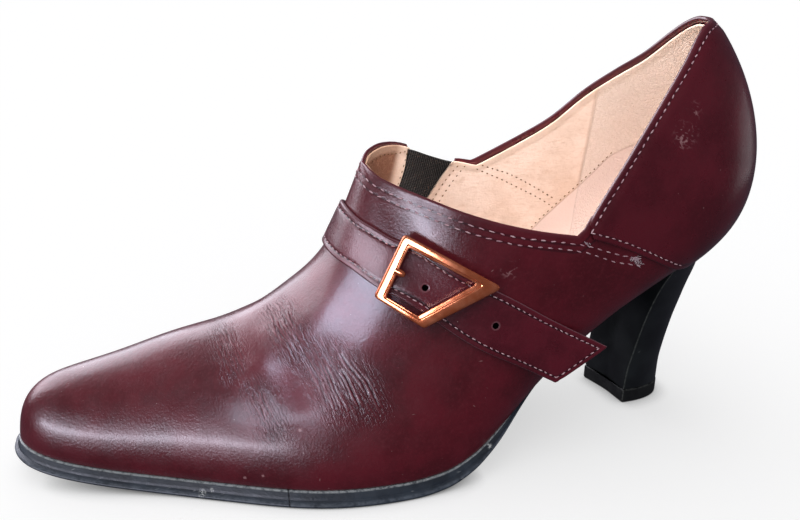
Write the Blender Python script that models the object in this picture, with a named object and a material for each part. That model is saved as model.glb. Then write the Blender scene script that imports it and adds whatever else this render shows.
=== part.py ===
# High heel shoe for the left foot, one shoe. Sizes here are millimetres; the objects are made in metres.
# Toe at -X, heel at +X, outer side with the buckle at -Y, floor at Z = 0 under the ball of the foot.

import math
from collections import namedtuple

import bpy
import bmesh
import numpy as np

MM = 0.001
WALL = 2.0
GAP = 0.3
SOLE_THICK = 4.6
SHANK_THICK = 2.0
INSOLE_THICK = 2.4
INSOLE_SEAT = 0.5
QUARTER_THICK = 1.1
STRAP_THICK = 1.6
BUCKLE_THICK = 2.2
BUCKLE_STANDOFF = 5.5
BUCKLE_TILT = 0.07
BUCKLE_ARCH = 0.006
LIFT_THICK = 5.5
TOE_SPRING = 8.0
TREAD_FRONT = -28.0
TOE_X = -91.5
HEEL_SKEW = math.radians(11)
HEEL_MIDDLE = 0.5
HEEL_INNER_REACH = 2.0
COLUMN_STEP = 0.25
UPPER_ROWS = 12
QUARTER_ROWS = 9
SOLE_STEPS = 50
HEEL_STEPS = 10
STRAP_STEPS = 45
STRAP_FREE_STEPS = 6
STRAP_ACROSS = 5
SOLE_END_OUTER = 13.0
SOLE_END_INNER = 12.40
GORE_FRONT = 9.15
GORE_POINT = 9.38
GORE_BACK = 10.0
GORE_DEPTH = 0.30

# Feather line of the last: plan position, then how far each wall column starts out and up.
# The loop runs from the toe tip along the outer side to the heel back and home along the inner side.
Station = namedtuple("Station", "x y out up")
OUTLINE = [Station(*row) for row in (
    (-90.0, 1.0, -1.5, 12.0),
    (-86.8, -6.0, -0.5, 12.0),
    (-77.5, -12.6, 2.2, 11.0),
    (-60.0, -18.6, 3.5, 12.5),
    (-38.0, -25.6, 4.0, 14.0),
    (-14.0, -35.2, 4.0, 16.0),
    (8.0, -42.0, 4.0, 18.0),
    (30.0, -43.4, 4.0, 20.0),
    (49.0, -40.6, 5.0, 22.0),
    (64.0, -35.0, 7.0, 22.0),
    (80.0, -29.0, 8.0, 20.0),
    (98.0, -26.0, 8.0, 16.0),
    (115.0, -24.0, 9.0, 14.0),
    (130.0, -20.0, 14.0, 12.0),
    (140.4, -12.0, 20.5, 10.0),
    (145.8, 0.5, 24.5, 8.0),
    (140.4, 13.0, 20.5, 10.0),
    (130.0, 20.5, 14.0, 12.0),
    (115.0, 23.5, 9.0, 14.0),
    (98.0, 24.0, 8.0, 16.0),
    (80.0, 23.0, 8.0, 20.0),
    (62.0, 25.0, 7.0, 22.0),
    (44.0, 29.5, 5.0, 22.0),
    (24.0, 35.0, 4.0, 20.0),
    (3.0, 37.5, 4.0, 18.0),
    (-17.0, 35.5, 4.0, 16.0),
    (-40.0, 29.0, 4.0, 14.0),
    (-62.0, 21.5, 3.5, 12.5),
    (-79.0, 15.0, 2.2, 11.0),
    (-87.6, 8.2, -0.5, 12.0),
)]

# Top of the wall columns, one row per station: the ridge of the vamp up to the throat,
# then a line above the collar that the collar edge is cut from.
ColumnTop = namedtuple("ColumnTop", "x z back side drop")
TOP = [ColumnTop(*row) for row in (
    (-71.0, 33.6, 14.0, 0.0, 0.0),
    (-69.5, 33.9, 11.0, 7.0, 0.0),
    (-63.5, 35.2, 5.0, 10.5, 0.0),
    (-52.5, 38.0, 1.5, 11.5, 0.0),
    (-37.0, 41.9, 0.0, 15.0, 0.0),
    (-19.0, 45.6, 0.0, 19.0, 0.0),
    (-2.0, 54.2, 0.0, 20.0, 0.0),
    (14.6, 70.2, 0.0, 18.0, 0.0),
    (26.5, 97.0, 0.0, 13.0, 0.0),
    (38.0, 114.0, -4.0, 10.0, -20.0),
    (58.0, 119.0, -5.0, 6.5, -28.0),
    (83.0, 122.0, -5.0, 4.5, -30.0),
    (107.0, 128.0, -6.0, 4.5, -31.0),
    (125.0, 134.0, -11.5, 5.6, -31.0),
    (136.8, 138.5, -22.5, 6.0, -30.0),
    (142.0, 138.5, -28.0, 0.0, -30.0),
)]
RIDGE_Y = [2.0, 2.0, 2.0, 2.2, 2.5, 2.5, 2.0, 1.0, 0.5]
RIM_OUTER = [0.0, 12.5, 22.5, 24.0, 20.6, 15.8, 9.2, 0.0]
RIM_INNER = [0.0, 12.5, 21.5, 24.0, 20.6, 15.6, 9.2, 0.0]

# Side views (x, z): under line of the sole behind the tread, and the collar edge on each side.
ARCH = [(34, 0), (44, 1.0), (54, 4.6), (66, 12.8), (80, 24.6), (96, 37.4), (112, 47.8), (128, 54.8),
        (140, 57.8), (150, 59.2)]
COLLAR_OUTER = [(26.5, 97.0), (30, 94.2), (36, 91.9), (44, 89.4), (54, 86.0), (66, 82.3), (78, 79.2),
                (90.5, 76.6)]
QUARTER_OUTER = [(90.5, 76.6), (97, 87.0), (104, 96.8), (111.3, 107.0), (118.3, 116.4), (126, 126.4),
                 (132, 134.0), (136, 137.0), (142.0, 138.0)]
COLLAR_INNER = [(26.5, 97.0), (27.4, 98.6), (29.5, 99.6), (33, 99.9), (38, 99.0), (47, 95.8), (55, 92.2),
                (63, 89.2), (72, 87.0)]
QUARTER_INNER = [(72, 87.0), (80, 90.4), (90, 95.2), (100, 101.0), (113, 112.4), (122, 118.8), (131, 125.0),
                 (137, 131.4), (142.0, 138.0)]

# Lower edge of the back quarter as (station, share of the column), outer side then inner side.
SEAM_OUTER = [(10.9, 0.52), (11.24, 0.46), (11.58, 0.385), (11.97, 0.289), (12.37, 0.188), (12.77, 0.10),
              (13.3, 0.06), (15.0, 0.06)]
SEAM_INNER = [(10.05, 0.60), (10.35, 0.53), (10.8, 0.45), (11.4, 0.36), (12.0, 0.26), (12.5, 0.16),
              (12.9, 0.09), (13.4, 0.06), (15.0, 0.06)]

# Edge of the sole from its top down: overhang past the feather line, share of the sole's depth.
SOLE_EDGE = [(0.2, 0.0), (0.8, 0.50), (1.4, 0.58), (1.7, 0.75), (1.3, 0.93), (0.4, 1.0)]
# Flare of the sole by station: how much wider it is at its lower edge.
SOLE_FLARE = [(0, 0.3), (1.5, 2.0), (8.0, 2.0), (9.6, 0.4), (13, 0.4)]
# Waist of the sole by station: how far it is set in under the upper, and how much of the overhang is lost.
WAIST_INSET = [(0, 0), (8.8, 0), (10.2, 2.6), (11.2, 4.0), (13, 4.0)]
WAIST_FADE = [(0, 0), (8.8, 0), (10.2, 0.7), (13, 0.7)]

# Strap edges on the upper: station and climb for the upper and the lower edge.
# The climb goes up the inner side from 0 to 1 at the ridge and on down the outer side from 1 to 2.
StrapRow = namedtuple("StrapRow", "upper_station upper_climb lower_station lower_climb")
STRAP = [StrapRow(*row) for row in (
    (8.52, 0.035, 7.95, 0.04),
    (8.33, 0.22, 7.78, 0.23),
    (8.10, 0.41, 7.58, 0.43),
    (7.90, 0.56, 7.38, 0.58),
    (7.70, 0.70, 7.20, 0.72),
    (7.56, 0.85, 7.06, 0.86),
    (7.50, 1.00, 7.00, 1.00),
    (7.58, 1.16, 7.06, 1.14),
    (7.77, 1.268, 7.22, 1.251),
    (8.04, 1.360, 7.46, 1.370),
    (8.42, 1.412, 7.74, 1.455),
    (8.80, 1.456, 8.02, 1.527),
    (9.18, 1.502, 8.28, 1.580),
    (9.53, 1.548, 8.53, 1.622),
    (9.84, 1.622, 8.85, 1.670),
    (10.12, 1.699, 9.16, 1.715),
)]
STRAP_TIP_UPPER = (102.0, -31.5, 37.8)
STRAP_TIP_LOWER = (84.0, -33.6, 28.2)

# Buckle corners in its own plane, outside and inside, along and across the strap.
BUCKLE_OUTER = [(-12.4, 10.8), (20.3, 10.4), (4.1, -11.2), (-12.3, -9.8)]
BUCKLE_INNER = [(-10.0, 8.4), (13.3, 8.0), (1.8, -8.9), (-9.4, -8.2)]
BUCKLE_AT = (41.9, -24.3, 63.1)
BUCKLE_FACE = (-0.236, -0.903, 0.36)
BUCKLE_RUN = (30.0, -10.0, -16.0)

# Short pin on the bar nearest the instep: place along the strap, radius.
PRONG = [(-11.2, 1.1), (-8.6, 1.1), (-7.4, 0.8)]
PRONG_ACROSS = 0.3
PRONG_SIDES = 10

# Heel sections: height, breast middle, half width, depth behind the breast.
HeelSection = namedtuple("HeelSection", "z breast half depth")
HEEL_SECTIONS = [HeelSection(*row) for row in (
    (5.8, 120.0, 10.4, 19.2),
    (14.0, 120.4, 10.7, 18.8),
    (22.0, 121.6, 11.2, 18.6),
    (31.0, 123.0, 12.0, 18.9),
    (41.0, 124.4, 13.7, 19.8),
    (50.0, 126.2, 15.9, 20.0),
    (57.5, 128.0, 19.0, 18.2),
)]


class Curve:
    # cubic through rows at whole-number stations, closed or with free ends
    def __init__(self, rows, loop=False):
        self.rows = np.array(rows, float)
        self.loop = loop
        n = len(self.rows)
        a = np.zeros((n, n))
        b = np.zeros_like(self.rows)
        for i in range(n):
            if not loop and i in (0, n - 1):
                a[i, i] = 1.0
                continue
            a[i, (i - 1) % n] += 1.0
            a[i, i] += 4.0
            a[i, (i + 1) % n] += 1.0
            b[i] = 6.0 * (self.rows[(i - 1) % n] - 2 * self.rows[i] + self.rows[(i + 1) % n])
        self.bend = np.linalg.solve(a, b)

    def at(self, k, slope=False):
        k = np.asarray(k, float)
        n = len(self.rows)
        i = np.floor(k).astype(int)
        if not self.loop:
            i = np.clip(i, 0, n - 2)
        t = (k - i)[..., None]
        p, q = self.rows[i % n], self.rows[(i + 1) % n]
        m, c = self.bend[i % n], self.bend[(i + 1) % n]
        if slope:
            return q - p - m * (3 * (1 - t) ** 2 - 1) / 6 + c * (3 * t ** 2 - 1) / 6
        return p * (1 - t) + q * t + m * ((1 - t) ** 3 - (1 - t)) / 6 + c * (t ** 3 - t) / 6


def level(table, x):
    # smooth height along a short (x, z) table that never overshoots its rows
    xs, zs = np.array(table, float).T
    h = np.diff(xs)
    d = np.diff(zs) / h
    m = np.zeros(len(xs))
    m[0], m[-1] = d[0], d[-1]
    for i in range(1, len(xs) - 1):
        if d[i - 1] * d[i] > 0:
            w1, w2 = 2 * h[i] + h[i - 1], h[i] + 2 * h[i - 1]
            m[i] = (w1 + w2) / (w1 / d[i - 1] + w2 / d[i])
    x = np.clip(np.asarray(x, float), xs[0], xs[-1])
    i = np.clip(np.searchsorted(xs, x, side="right") - 1, 0, len(xs) - 2)
    t = (x - xs[i]) / h[i]
    a = zs[i] * (1 + 2 * t) * (1 - t) ** 2 + zs[i + 1] * t * t * (3 - 2 * t)
    return a + h[i] * (m[i] * t * (1 - t) ** 2 - m[i + 1] * t * t * (1 - t))


LOOP = len(OUTLINE)
HEEL = LOOP // 2
THROAT = len(RIDGE_Y) - 1
RIM_START = len(RIM_OUTER) - 1
outline = Curve(OUTLINE, loop=True)
top_line = Curve([(row.x, row.z) for row in TOP + TOP[HEEL - 1:0:-1]], loop=True)
ridge_side = Curve([[y] for y in RIDGE_Y[:0:-1] + RIDGE_Y])
ridge_back = Curve([[row.back] for row in TOP[THROAT:0:-1] + TOP[:THROAT + 1]])
side_pull = Curve([[-row.side] for row in TOP] + [[row.side] for row in TOP[HEEL - 1:0:-1]], loop=True)
rim_rows = TOP[:THROAT:-1] + TOP[THROAT:] + TOP[HEEL - 1:THROAT:-1]
rim_pull = Curve([(-row.back, row.drop) for row in rim_rows])
rim_outer = Curve([[-y] for y in RIM_OUTER[:0:-1] + RIM_OUTER] + [[y] for y in RIM_INNER[-2:0:-1]])
rim_inner = Curve([[y] for y in RIM_INNER[:0:-1] + RIM_INNER] + [[-y] for y in RIM_OUTER[-2:0:-1]])


def under_line(x):
    # underside of the sole: toe spring, flat tread, arch
    x = np.asarray(x, float)
    spring = TOE_SPRING * (np.maximum(0, TREAD_FRONT - x) / (TREAD_FRONT - TOE_X)) ** 2
    first = ARCH[0][0]
    return spring + np.where(x > first, level([(first - 8, 0)] + ARCH, np.maximum(x, first)), 0)


def base_line(x):
    # plane that the upper stands on, on top of the sole
    t = np.clip((np.asarray(x, float) - 36) / 44, 0, 1)
    return under_line(x) + SOLE_THICK + (SHANK_THICK - SOLE_THICK) * t * t * (3 - 2 * t)


def feather(k, inset=0.0):
    # plan position on the feather line moved in by inset, the outward direction there, and the table row
    row = outline.at(k)
    run = outline.at(k, slope=True)[..., :2]
    run = run / np.linalg.norm(run, axis=-1, keepdims=True)
    out = np.stack([run[..., 1], -run[..., 0]], -1)
    return row[..., :2] - out * np.asarray(inset)[..., None], out, row


def shell(k, w):
    # outer face of the upper: k runs round the feather line, w goes up the column from 0 to 1
    k, w = np.broadcast_arrays(np.asarray(k, float) % LOOP, np.asarray(w, float))
    flat, out, row = feather(k)
    foot = np.concatenate([flat, base_line(flat[..., 0])[..., None]], -1)
    rise = np.concatenate([out * row[..., 2:3], row[..., 3:4]], -1)
    outer = k <= HEEL
    a = np.where(outer, k, LOOP - k)
    xz = top_line.at(a)
    behind = np.maximum(a - THROAT, 0) + RIM_START
    half = np.where(outer, rim_outer.at(behind)[..., 0], rim_inner.at(behind)[..., 0])
    y = ridge_side.at(np.minimum(a, THROAT) + THROAT)[..., 0] + half
    top = np.stack([xz[..., 0], y, xz[..., 1]], -1)
    run = top_line.at(np.maximum(a, 0.05), slope=True)
    back = ridge_back.at(np.minimum(a, THROAT) + THROAT)[..., 0]
    lean = rim_pull.at(behind)
    front = a <= THROAT
    dx = np.where(front, -back, lean[..., 0])
    dz = np.where(front, -back * run[..., 1] / run[..., 0], lean[..., 1])
    pull = np.stack([dx, side_pull.at(k)[..., 0], dz], -1)
    w = w[..., None]
    v = 1 - w
    return foot * v ** 3 + 3 * (foot + rise) * v * v * w + 3 * (top + pull) * v * w * w + top * w ** 3


def facing(k, w):
    # outward unit normal of the shell
    k = np.asarray(k, float)
    w = np.clip(w, 0.002, 0.998)
    e = 0.001
    a = shell(k + e, w) - shell(k - e, w)
    b = shell(k, w + e) - shell(k, w - e)
    n = np.cross(a, b)
    return n / np.linalg.norm(n, axis=-1, keepdims=True)


def skin(k, w, lift):
    # point at a distance off the shell
    return shell(k, w) + facing(k, w) * lift


def collar(k):
    # share of each column that lies under the collar edge
    k = np.asarray(k, float) % LOOP
    lo, hi = np.full(k.shape, 0.3), np.ones(k.shape)
    for _ in range(40):
        mid = (lo + hi) / 2
        p = shell(k, mid)
        x = p[..., 0]
        outer = np.where(x < COLLAR_OUTER[-1][0], level(COLLAR_OUTER, x), level(QUARTER_OUTER, x))
        inner = np.where(x < COLLAR_INNER[-1][0], level(COLLAR_INNER, x), level(QUARTER_INNER, x))
        above = p[..., 2] > np.where(k <= HEEL, outer, inner)
        hi = np.where(above, mid, hi)
        lo = np.where(above, lo, mid)
    a = np.where(k <= HEEL, k, LOOP - k)
    return np.where(a <= THROAT, 1.0, (lo + hi) / 2)


def gore_drop(k, clear=0.0):
    # depth of the notch for the elastic, as a share of the column, on the inner side only
    k = np.asarray(k, float) % LOOP
    a = LOOP - k
    ahead = (a - GORE_FRONT - clear) / (GORE_POINT - GORE_FRONT)
    behind = (GORE_BACK - clear - a) / (GORE_BACK - GORE_POINT)
    return np.where(k > HEEL, GORE_DEPTH * np.clip(np.minimum(ahead, behind), 0, 1), 0)


def column_stations():
    # stations of the wall columns on one side, with extra ones at the notch
    even = np.arange(0, HEEL + 1e-6, COLUMN_STEP)
    front = np.linspace(GORE_FRONT, GORE_POINT, 3)
    notch = np.concatenate([front, np.linspace(GORE_POINT, GORE_BACK, 4)[1:]])
    even = [k for k in even if np.abs(notch - k).min() > 0.1]
    return np.array(sorted(even + list(notch)))


def upper_solid():
    # hollow wall: outer and inner skins joined at the collar edge and at the feather line
    one = column_stations()
    ks = np.concatenate([one, LOOP - one[-2:0:-1]])
    n, rows = len(ks), UPPER_ROWS
    tops = collar(ks) - gore_drop(ks)
    w = tops[:, None] * np.linspace(0, 1, rows + 1)
    kk = np.repeat(ks[:, None], rows + 1, 1)
    outer = shell(kk, w)
    inner = skin(kk, w, -WALL)
    inner[:, 0, :2] = feather(ks, np.full(n, WALL))[0]
    inner[:, 0, 2] = base_line(inner[:, 0, 0])
    for i, k in enumerate(ks):
        a = min(k, LOOP - k)
        if a <= THROAT:
            run = top_line.at(max(a, 0.05), slope=True)
            up = np.array([-run[1], 0.0, run[0]]) / math.hypot(run[0], run[1])
            inner[i, rows] = outer[i, rows] - up * WALL
    index = np.arange(n * (rows + 1)).reshape(n, rows + 1)
    for i, k in enumerate(ks):
        if k > HEEL and LOOP - k <= THROAT:
            index[i, rows] = index[n - i, rows]
    shift = n * (rows + 1)
    faces = []
    for i in range(n):
        j = (i + 1) % n
        for r in range(rows):
            quad = [index[i, r], index[j, r], index[j, r + 1], index[i, r + 1]]
            faces.append(quad)
            faces.append([q + shift for q in quad[::-1]])
        faces.append([index[j, 0], index[i, 0], index[i, 0] + shift, index[j, 0] + shift])
        mid = (ks[i] + (ks[j] if j else LOOP)) / 2
        if min(mid, LOOP - mid) > THROAT:
            faces.append([index[i, rows], index[j, rows], index[j, rows] + shift, index[i, rows] + shift])
    return np.concatenate([outer.reshape(-1, 3), inner.reshape(-1, 3)]), faces


def sheet_solid(low, high):
    # closed sheet between two grids of points
    n, m = low.shape[:2]
    index = np.arange(n * m).reshape(n, m)
    shift = n * m
    faces = []
    for i in range(n - 1):
        for j in range(m - 1):
            quad = [index[i, j], index[i + 1, j], index[i + 1, j + 1], index[i, j + 1]]
            faces.append(quad)
            faces.append([q + shift for q in quad[::-1]])
    edge = list(index[:, 0]) + list(index[-1, 1:]) + list(index[-2::-1, -1]) + list(index[0, -2:0:-1])
    for a, b in zip(edge, edge[1:] + edge[:1]):
        faces.append([b, a, a + shift, b + shift])
    return np.concatenate([low.reshape(-1, 3), high.reshape(-1, 3)]), faces


def stack_solid(loops):
    # closed solid from a stack of loops; each end is closed by strips between the two halves of its loop
    m = len(loops[0])
    faces = []
    for s in range(len(loops) - 1):
        for i in range(m):
            j = (i + 1) % m
            faces.append([s * m + i, s * m + j, (s + 1) * m + j, (s + 1) * m + i])
    for s, turn in ((0, -1), (len(loops) - 1, 1)):
        for i in range((m + 1) // 2):
            strip = [i, i + 1, (m - i - 1) % m, (m - i) % m]
            strip = [s * m + q for n, q in enumerate(strip) if q not in strip[:n]]
            if len(strip) > 2:
                faces.append(strip[::turn])
    return np.concatenate(loops), faces


def side_loop(outer, inner, inset, drop):
    # loop along the feather line by its outer and inner stations, moved in by inset and down by drop
    ks = np.concatenate([outer, LOOP - inner[::-1]])
    ks = np.array([k for i, k in enumerate(ks) if k < LOOP and (i == 0 or k != ks[i - 1])])
    flat, out, row = feather(ks, inset(np.minimum(ks, LOOP - ks)))
    z = base_line(flat[:, 0]) - drop(flat[:, 0])
    return np.column_stack([flat, z])


def sole_depth(x):
    return base_line(x) - under_line(x)


def outsole_solid():
    # bevelled band, rounded bead and flat tread; the waist is thin and set in under the upper
    share = np.linspace(0, 1, SOLE_STEPS + 1)

    def band(over, deep):
        return lambda a: level(WAIST_INSET, a) - (over + level(SOLE_FLARE, a) * deep) * (1 - level(WAIST_FADE, a))

    loops = []
    for over, deep in SOLE_EDGE:
        loops.append(side_loop(share * SOLE_END_OUTER, share * SOLE_END_INNER, band(over, deep),
                               lambda x, d=deep: GAP + (sole_depth(x) - GAP) * d))
    return stack_solid(loops)


def insole_solid():
    stations = np.arange(0, HEEL + 0.01, 0.375)

    def inset(a):
        return np.full(np.shape(a), WALL + 0.7)

    low = side_loop(stations, stations, inset, lambda x: 0 * x - INSOLE_SEAT)
    high = side_loop(stations, stations, inset, lambda x: 0 * x - INSOLE_SEAT - INSOLE_THICK)
    return stack_solid([low, high])


def heel_outline(breast, half, depth, grow=0.0):
    # flat breast with square corners and a rounded back, turned by the skew; its inner corner reaches forward
    pts = []
    for t in (0.0, 0.5, 1.0):
        pts.append((-grow, -(half + grow) * t))
    for i in range(1, 12):
        a = math.radians(90 - 90 * i / 12)
        c, s = math.cos(a), math.sin(a)
        pts.append(((depth + grow) * c ** 0.86, -(half + grow) * s ** 0.86))
    pts.append((depth + grow, 0.0))
    pts = pts + [(p, -q) for p, q in pts[-2:0:-1]]
    out = []
    for p, q in pts:
        x = breast + p - math.tan(HEEL_SKEW) * q * (1 - p / (depth + grow) * 0.6)
        x -= HEEL_INNER_REACH * max(0, q / (half + grow)) * max(0, 1 - p / (depth + grow))
        out.append((x, HEEL_MIDDLE + q))
    return np.array(out)


def heel_section(z):
    # breast, half width and depth of the heel at a height
    heights, *columns = zip(*HEEL_SECTIONS)
    return [float(level(list(zip(heights, column)), z)) for column in columns]


def heel_solid():
    low, high = HEEL_SECTIONS[0].z, HEEL_SECTIONS[-1].z
    loops = []
    for t in np.linspace(0, 1, HEEL_STEPS + 1):
        z = low + (high - low) * t
        flat = heel_outline(*heel_section(z))
        seat = base_line(flat[:, 0]) - GAP
        loops.append(np.column_stack([flat, low + (seat - low) * t]))
    return stack_solid(loops)


def lift_solid():
    section = heel_section(HEEL_SECTIONS[0].z)
    loops = []
    for z, grow in ((0.0, -0.3), (0.5, 0.2), (LIFT_THICK, 0.2)):
        flat = heel_outline(*section, grow=grow)
        loops.append(np.column_stack([flat, np.full(len(flat), z)]))
    return stack_solid(loops)


def quarter_solid():
    # panel over the upper's own columns, from its inner front edge round the heel to the seam point outside
    one = column_stations()
    start_inner, start_outer = SEAM_INNER[0][0], SEAM_OUTER[0][0] + 0.16
    inner = np.concatenate([[start_inner], one[one > start_inner + 0.1]])
    outer = np.concatenate([[start_outer], one[one > start_outer + 0.1]])[::-1][1:]
    ks = np.concatenate([LOOP - inner, outer])
    low = np.concatenate([level(SEAM_INNER, inner), level(SEAM_OUTER, outer)])
    high = collar(ks) - 0.002
    t = np.linspace(0, 1, QUARTER_ROWS + 1)
    w = low[:, None] * (1 - t) + high[:, None] * t
    k = np.repeat(ks[:, None], QUARTER_ROWS + 1, 1)
    return sheet_solid(skin(k, w, GAP), skin(k, w, GAP + QUARTER_THICK))


def gore_solid():
    front = np.linspace(GORE_FRONT + 0.045, GORE_POINT, 5)
    ks = LOOP - np.concatenate([front, np.linspace(GORE_POINT, GORE_BACK - 0.05, 8)[1:]])
    edge = collar(ks)
    low = edge - gore_drop(ks, clear=0.022)
    t = np.linspace(0, 1, 6)
    w = low[:, None] * (1 - t) + (edge - 0.004)[:, None] * t
    k = np.repeat(ks[:, None], 6, 1)
    return sheet_solid(skin(k, w, -1.6), skin(k, w, -0.5))


def strap_grid(steps, free_steps, across):
    # under face of the strap and its outward direction: laid on the upper, then straight on to the cut end
    edges = StrapRow(*Curve(STRAP).at(np.linspace(0, len(STRAP) - 1, steps + 1)).T[..., None])
    t = np.linspace(0, 1, across + 1)
    station = edges.lower_station * (1 - t) + edges.upper_station * t
    climb = edges.lower_climb * (1 - t) + edges.upper_climb * t
    k = np.where(climb < 1, LOOP - station, station)
    laid = skin(k, np.where(climb < 1, climb, 2 - climb), GAP)
    tip = np.array(STRAP_TIP_LOWER) * (1 - t[:, None]) + np.array(STRAP_TIP_UPPER) * t[:, None]
    start = laid[-1]
    run = laid[-1] - laid[-2]
    reach = np.linalg.norm(tip - start, axis=1, keepdims=True)
    run = run / np.linalg.norm(run, axis=1, keepdims=True) * reach
    free = []
    for s in np.linspace(0, 1, free_steps + 1)[1:]:
        free.append(start * (1 - s) ** 2 * (1 + 2 * s) + run * s * (1 - s) ** 2 + tip * s * s * (3 - 2 * s)
                    - (tip - start) * s * s * (1 - s))
    grid = np.concatenate([laid, free])
    n = np.cross(np.gradient(grid, axis=0), np.gradient(grid, axis=1))
    return grid, n / np.linalg.norm(n, axis=-1, keepdims=True)


def strap_solid():
    grid, n = strap_grid(STRAP_STEPS, STRAP_FREE_STEPS, STRAP_ACROSS)
    return sheet_solid(grid, grid + n * STRAP_THICK)


def buckle_frame():
    # plane of the buckle: place, run along the strap, direction across it, outward face
    face = np.array(BUCKLE_FACE) / np.linalg.norm(BUCKLE_FACE)
    run = np.array(BUCKLE_RUN) - face * np.dot(BUCKLE_RUN, face)
    run = run / np.linalg.norm(run)
    across = np.cross(face, run)
    return np.array(BUCKLE_AT), run, across, face


def rounded(corners, radius, steps=4):
    # polygon with its corners rounded
    pts = []
    n = len(corners)
    for i in range(n):
        p = np.array(corners[i], float)
        a = np.array(corners[i - 1], float) - p
        b = np.array(corners[(i + 1) % n], float) - p
        a = a / np.linalg.norm(a)
        b = b / np.linalg.norm(b)
        reach = radius / math.tan(math.acos(np.clip(a @ b, -1, 1)) / 2)
        for s in range(steps + 1):
            t = s / steps
            pts.append(p + a * reach * (1 - t) ** 2 + b * reach * t ** 2)
    return np.array(pts)


def buckle_point(p, q, lift):
    # point of the buckle: p along the strap, q across it, lift off its gently arched back
    at, run, across, face = buckle_frame()
    rise = BUCKLE_STANDOFF + BUCKLE_TILT * q - BUCKLE_ARCH * (p - 2) ** 2 + lift
    return at + run * p + across * q + face * rise


def buckle_solid():
    outside, inside = rounded(BUCKLE_OUTER, 1.4), rounded(BUCKLE_INNER, 1.0)
    middle = outside.mean(0)
    section = [(outside, 0.0, 1.0), (outside, 0.65, 1.0), (outside, 1.0, 0.975), (inside, 1.0, 1.03),
               (inside, 0.65, 1.0), (inside, 0.0, 1.0)]
    n = len(outside)
    pts, faces = [], []
    for loop, share, scale in section:
        for p in loop:
            q = middle + (p - middle) * scale
            pts.append(buckle_point(q[0], q[1], BUCKLE_THICK * share))
    s = len(section)
    for r in range(s):
        for i in range(n):
            j = (i + 1) % n
            q = (r + 1) % s
            faces.append([r * n + i, r * n + j, q * n + j, q * n + i])
    return np.array(pts), faces


def prong_solid():
    # the pin, a stack of rings along the strap
    loops = []
    for along, radius in PRONG:
        ring = []
        for i in range(PRONG_SIDES):
            a = 2 * math.pi * i / PRONG_SIDES
            lift = BUCKLE_THICK / 2 + 0.9 * radius * math.sin(a)
            ring.append(buckle_point(along, PRONG_ACROSS + radius * math.cos(a), lift))
        loops.append(np.array(ring))
    return stack_solid(loops)


# Blender objects

for old in list(bpy.data.objects):
    bpy.data.objects.remove(old, do_unlink=True)

parts = bpy.data.collections.new("high_heel_shoe")
bpy.context.scene.collection.children.link(parts)
cutters = bpy.data.collections.new("cutters")
bpy.context.scene.collection.children.link(cutters)


def material(name, colour, rough, metal=0.0):
    mat = bpy.data.materials.new(name)
    mat.use_nodes = True
    node = mat.node_tree.nodes["Principled BSDF"]
    node.inputs["Base Color"].default_value = (*colour, 1.0)
    node.inputs["Roughness"].default_value = rough
    node.inputs["Metallic"].default_value = metal
    mat.diffuse_color = (*colour, 1.0)
    return mat


def piece(name, solid, mat, home=parts):
    # mesh object from points and faces, facing out
    pts, faces = solid
    mesh = bpy.data.meshes.new(name)
    mesh.from_pydata([tuple(float(c) * MM for c in p) for p in pts], [], [[int(i) for i in f] for f in faces])
    shape = bmesh.new()
    shape.from_mesh(mesh)
    loose = [v for v in shape.verts if not v.link_faces]
    bmesh.ops.delete(shape, geom=loose, context="VERTS")
    bmesh.ops.recalc_face_normals(shape, faces=shape.faces)
    shape.to_mesh(mesh)
    shape.free()
    thing = bpy.data.objects.new(name, mesh)
    thing.data.materials.append(mat)
    home.objects.link(thing)
    return thing


leather = material("oxblood leather", (0.085, 0.012, 0.020), 0.38)
quarter_leather = material("oxblood quarter leather", (0.080, 0.011, 0.019), 0.36)
strap_leather = material("oxblood strap leather", (0.090, 0.013, 0.022), 0.36)
elastic = material("black elastic", (0.012, 0.012, 0.014), 0.9)
sock = material("pale sock leather", (0.62, 0.46, 0.42), 0.7)
rubber = material("dark sole rubber", (0.035, 0.040, 0.052), 0.6)
lacquer = material("black heel lacquer", (0.012, 0.012, 0.013), 0.35)
lift_rubber = material("black lift rubber", (0.014, 0.014, 0.015), 0.6)
copper = material("rose copper", (0.72, 0.30, 0.16), 0.25, 1.0)

upper = piece("upper", upper_solid(), leather)
back_quarter = piece("back_quarter", quarter_solid(), quarter_leather)
gore = piece("gore", gore_solid(), elastic)
strap = piece("strap", strap_solid(), strap_leather)
insole = piece("insole", insole_solid(), sock)
outsole = piece("outsole", outsole_solid(), rubber)
heel = piece("heel", heel_solid(), lacquer)
heel_lift = piece("heel_lift", lift_solid(), lift_rubber)
buckle = piece("buckle", buckle_solid(), copper)

prong = piece("prong", prong_solid(), copper, cutters)
prong.hide_render = True
prong.display_type = "WIRE"
join = buckle.modifiers.new("prong on the bar", "BOOLEAN")
join.operation = "UNION"
join.solver = "EXACT"
join.object = prong
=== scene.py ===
# High heel shoe for the left foot: the looks. Tables are in millimetres, meshes in metres.
# Toe at -X, heel at +X, outer side with the buckle at -Y, floor at Z = 0.

import math
import random
from functools import partial

import bpy
import bmesh
import numpy as np
from mathutils import Matrix, Vector, kdtree
from mathutils.bvhtree import BVHTree


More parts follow.
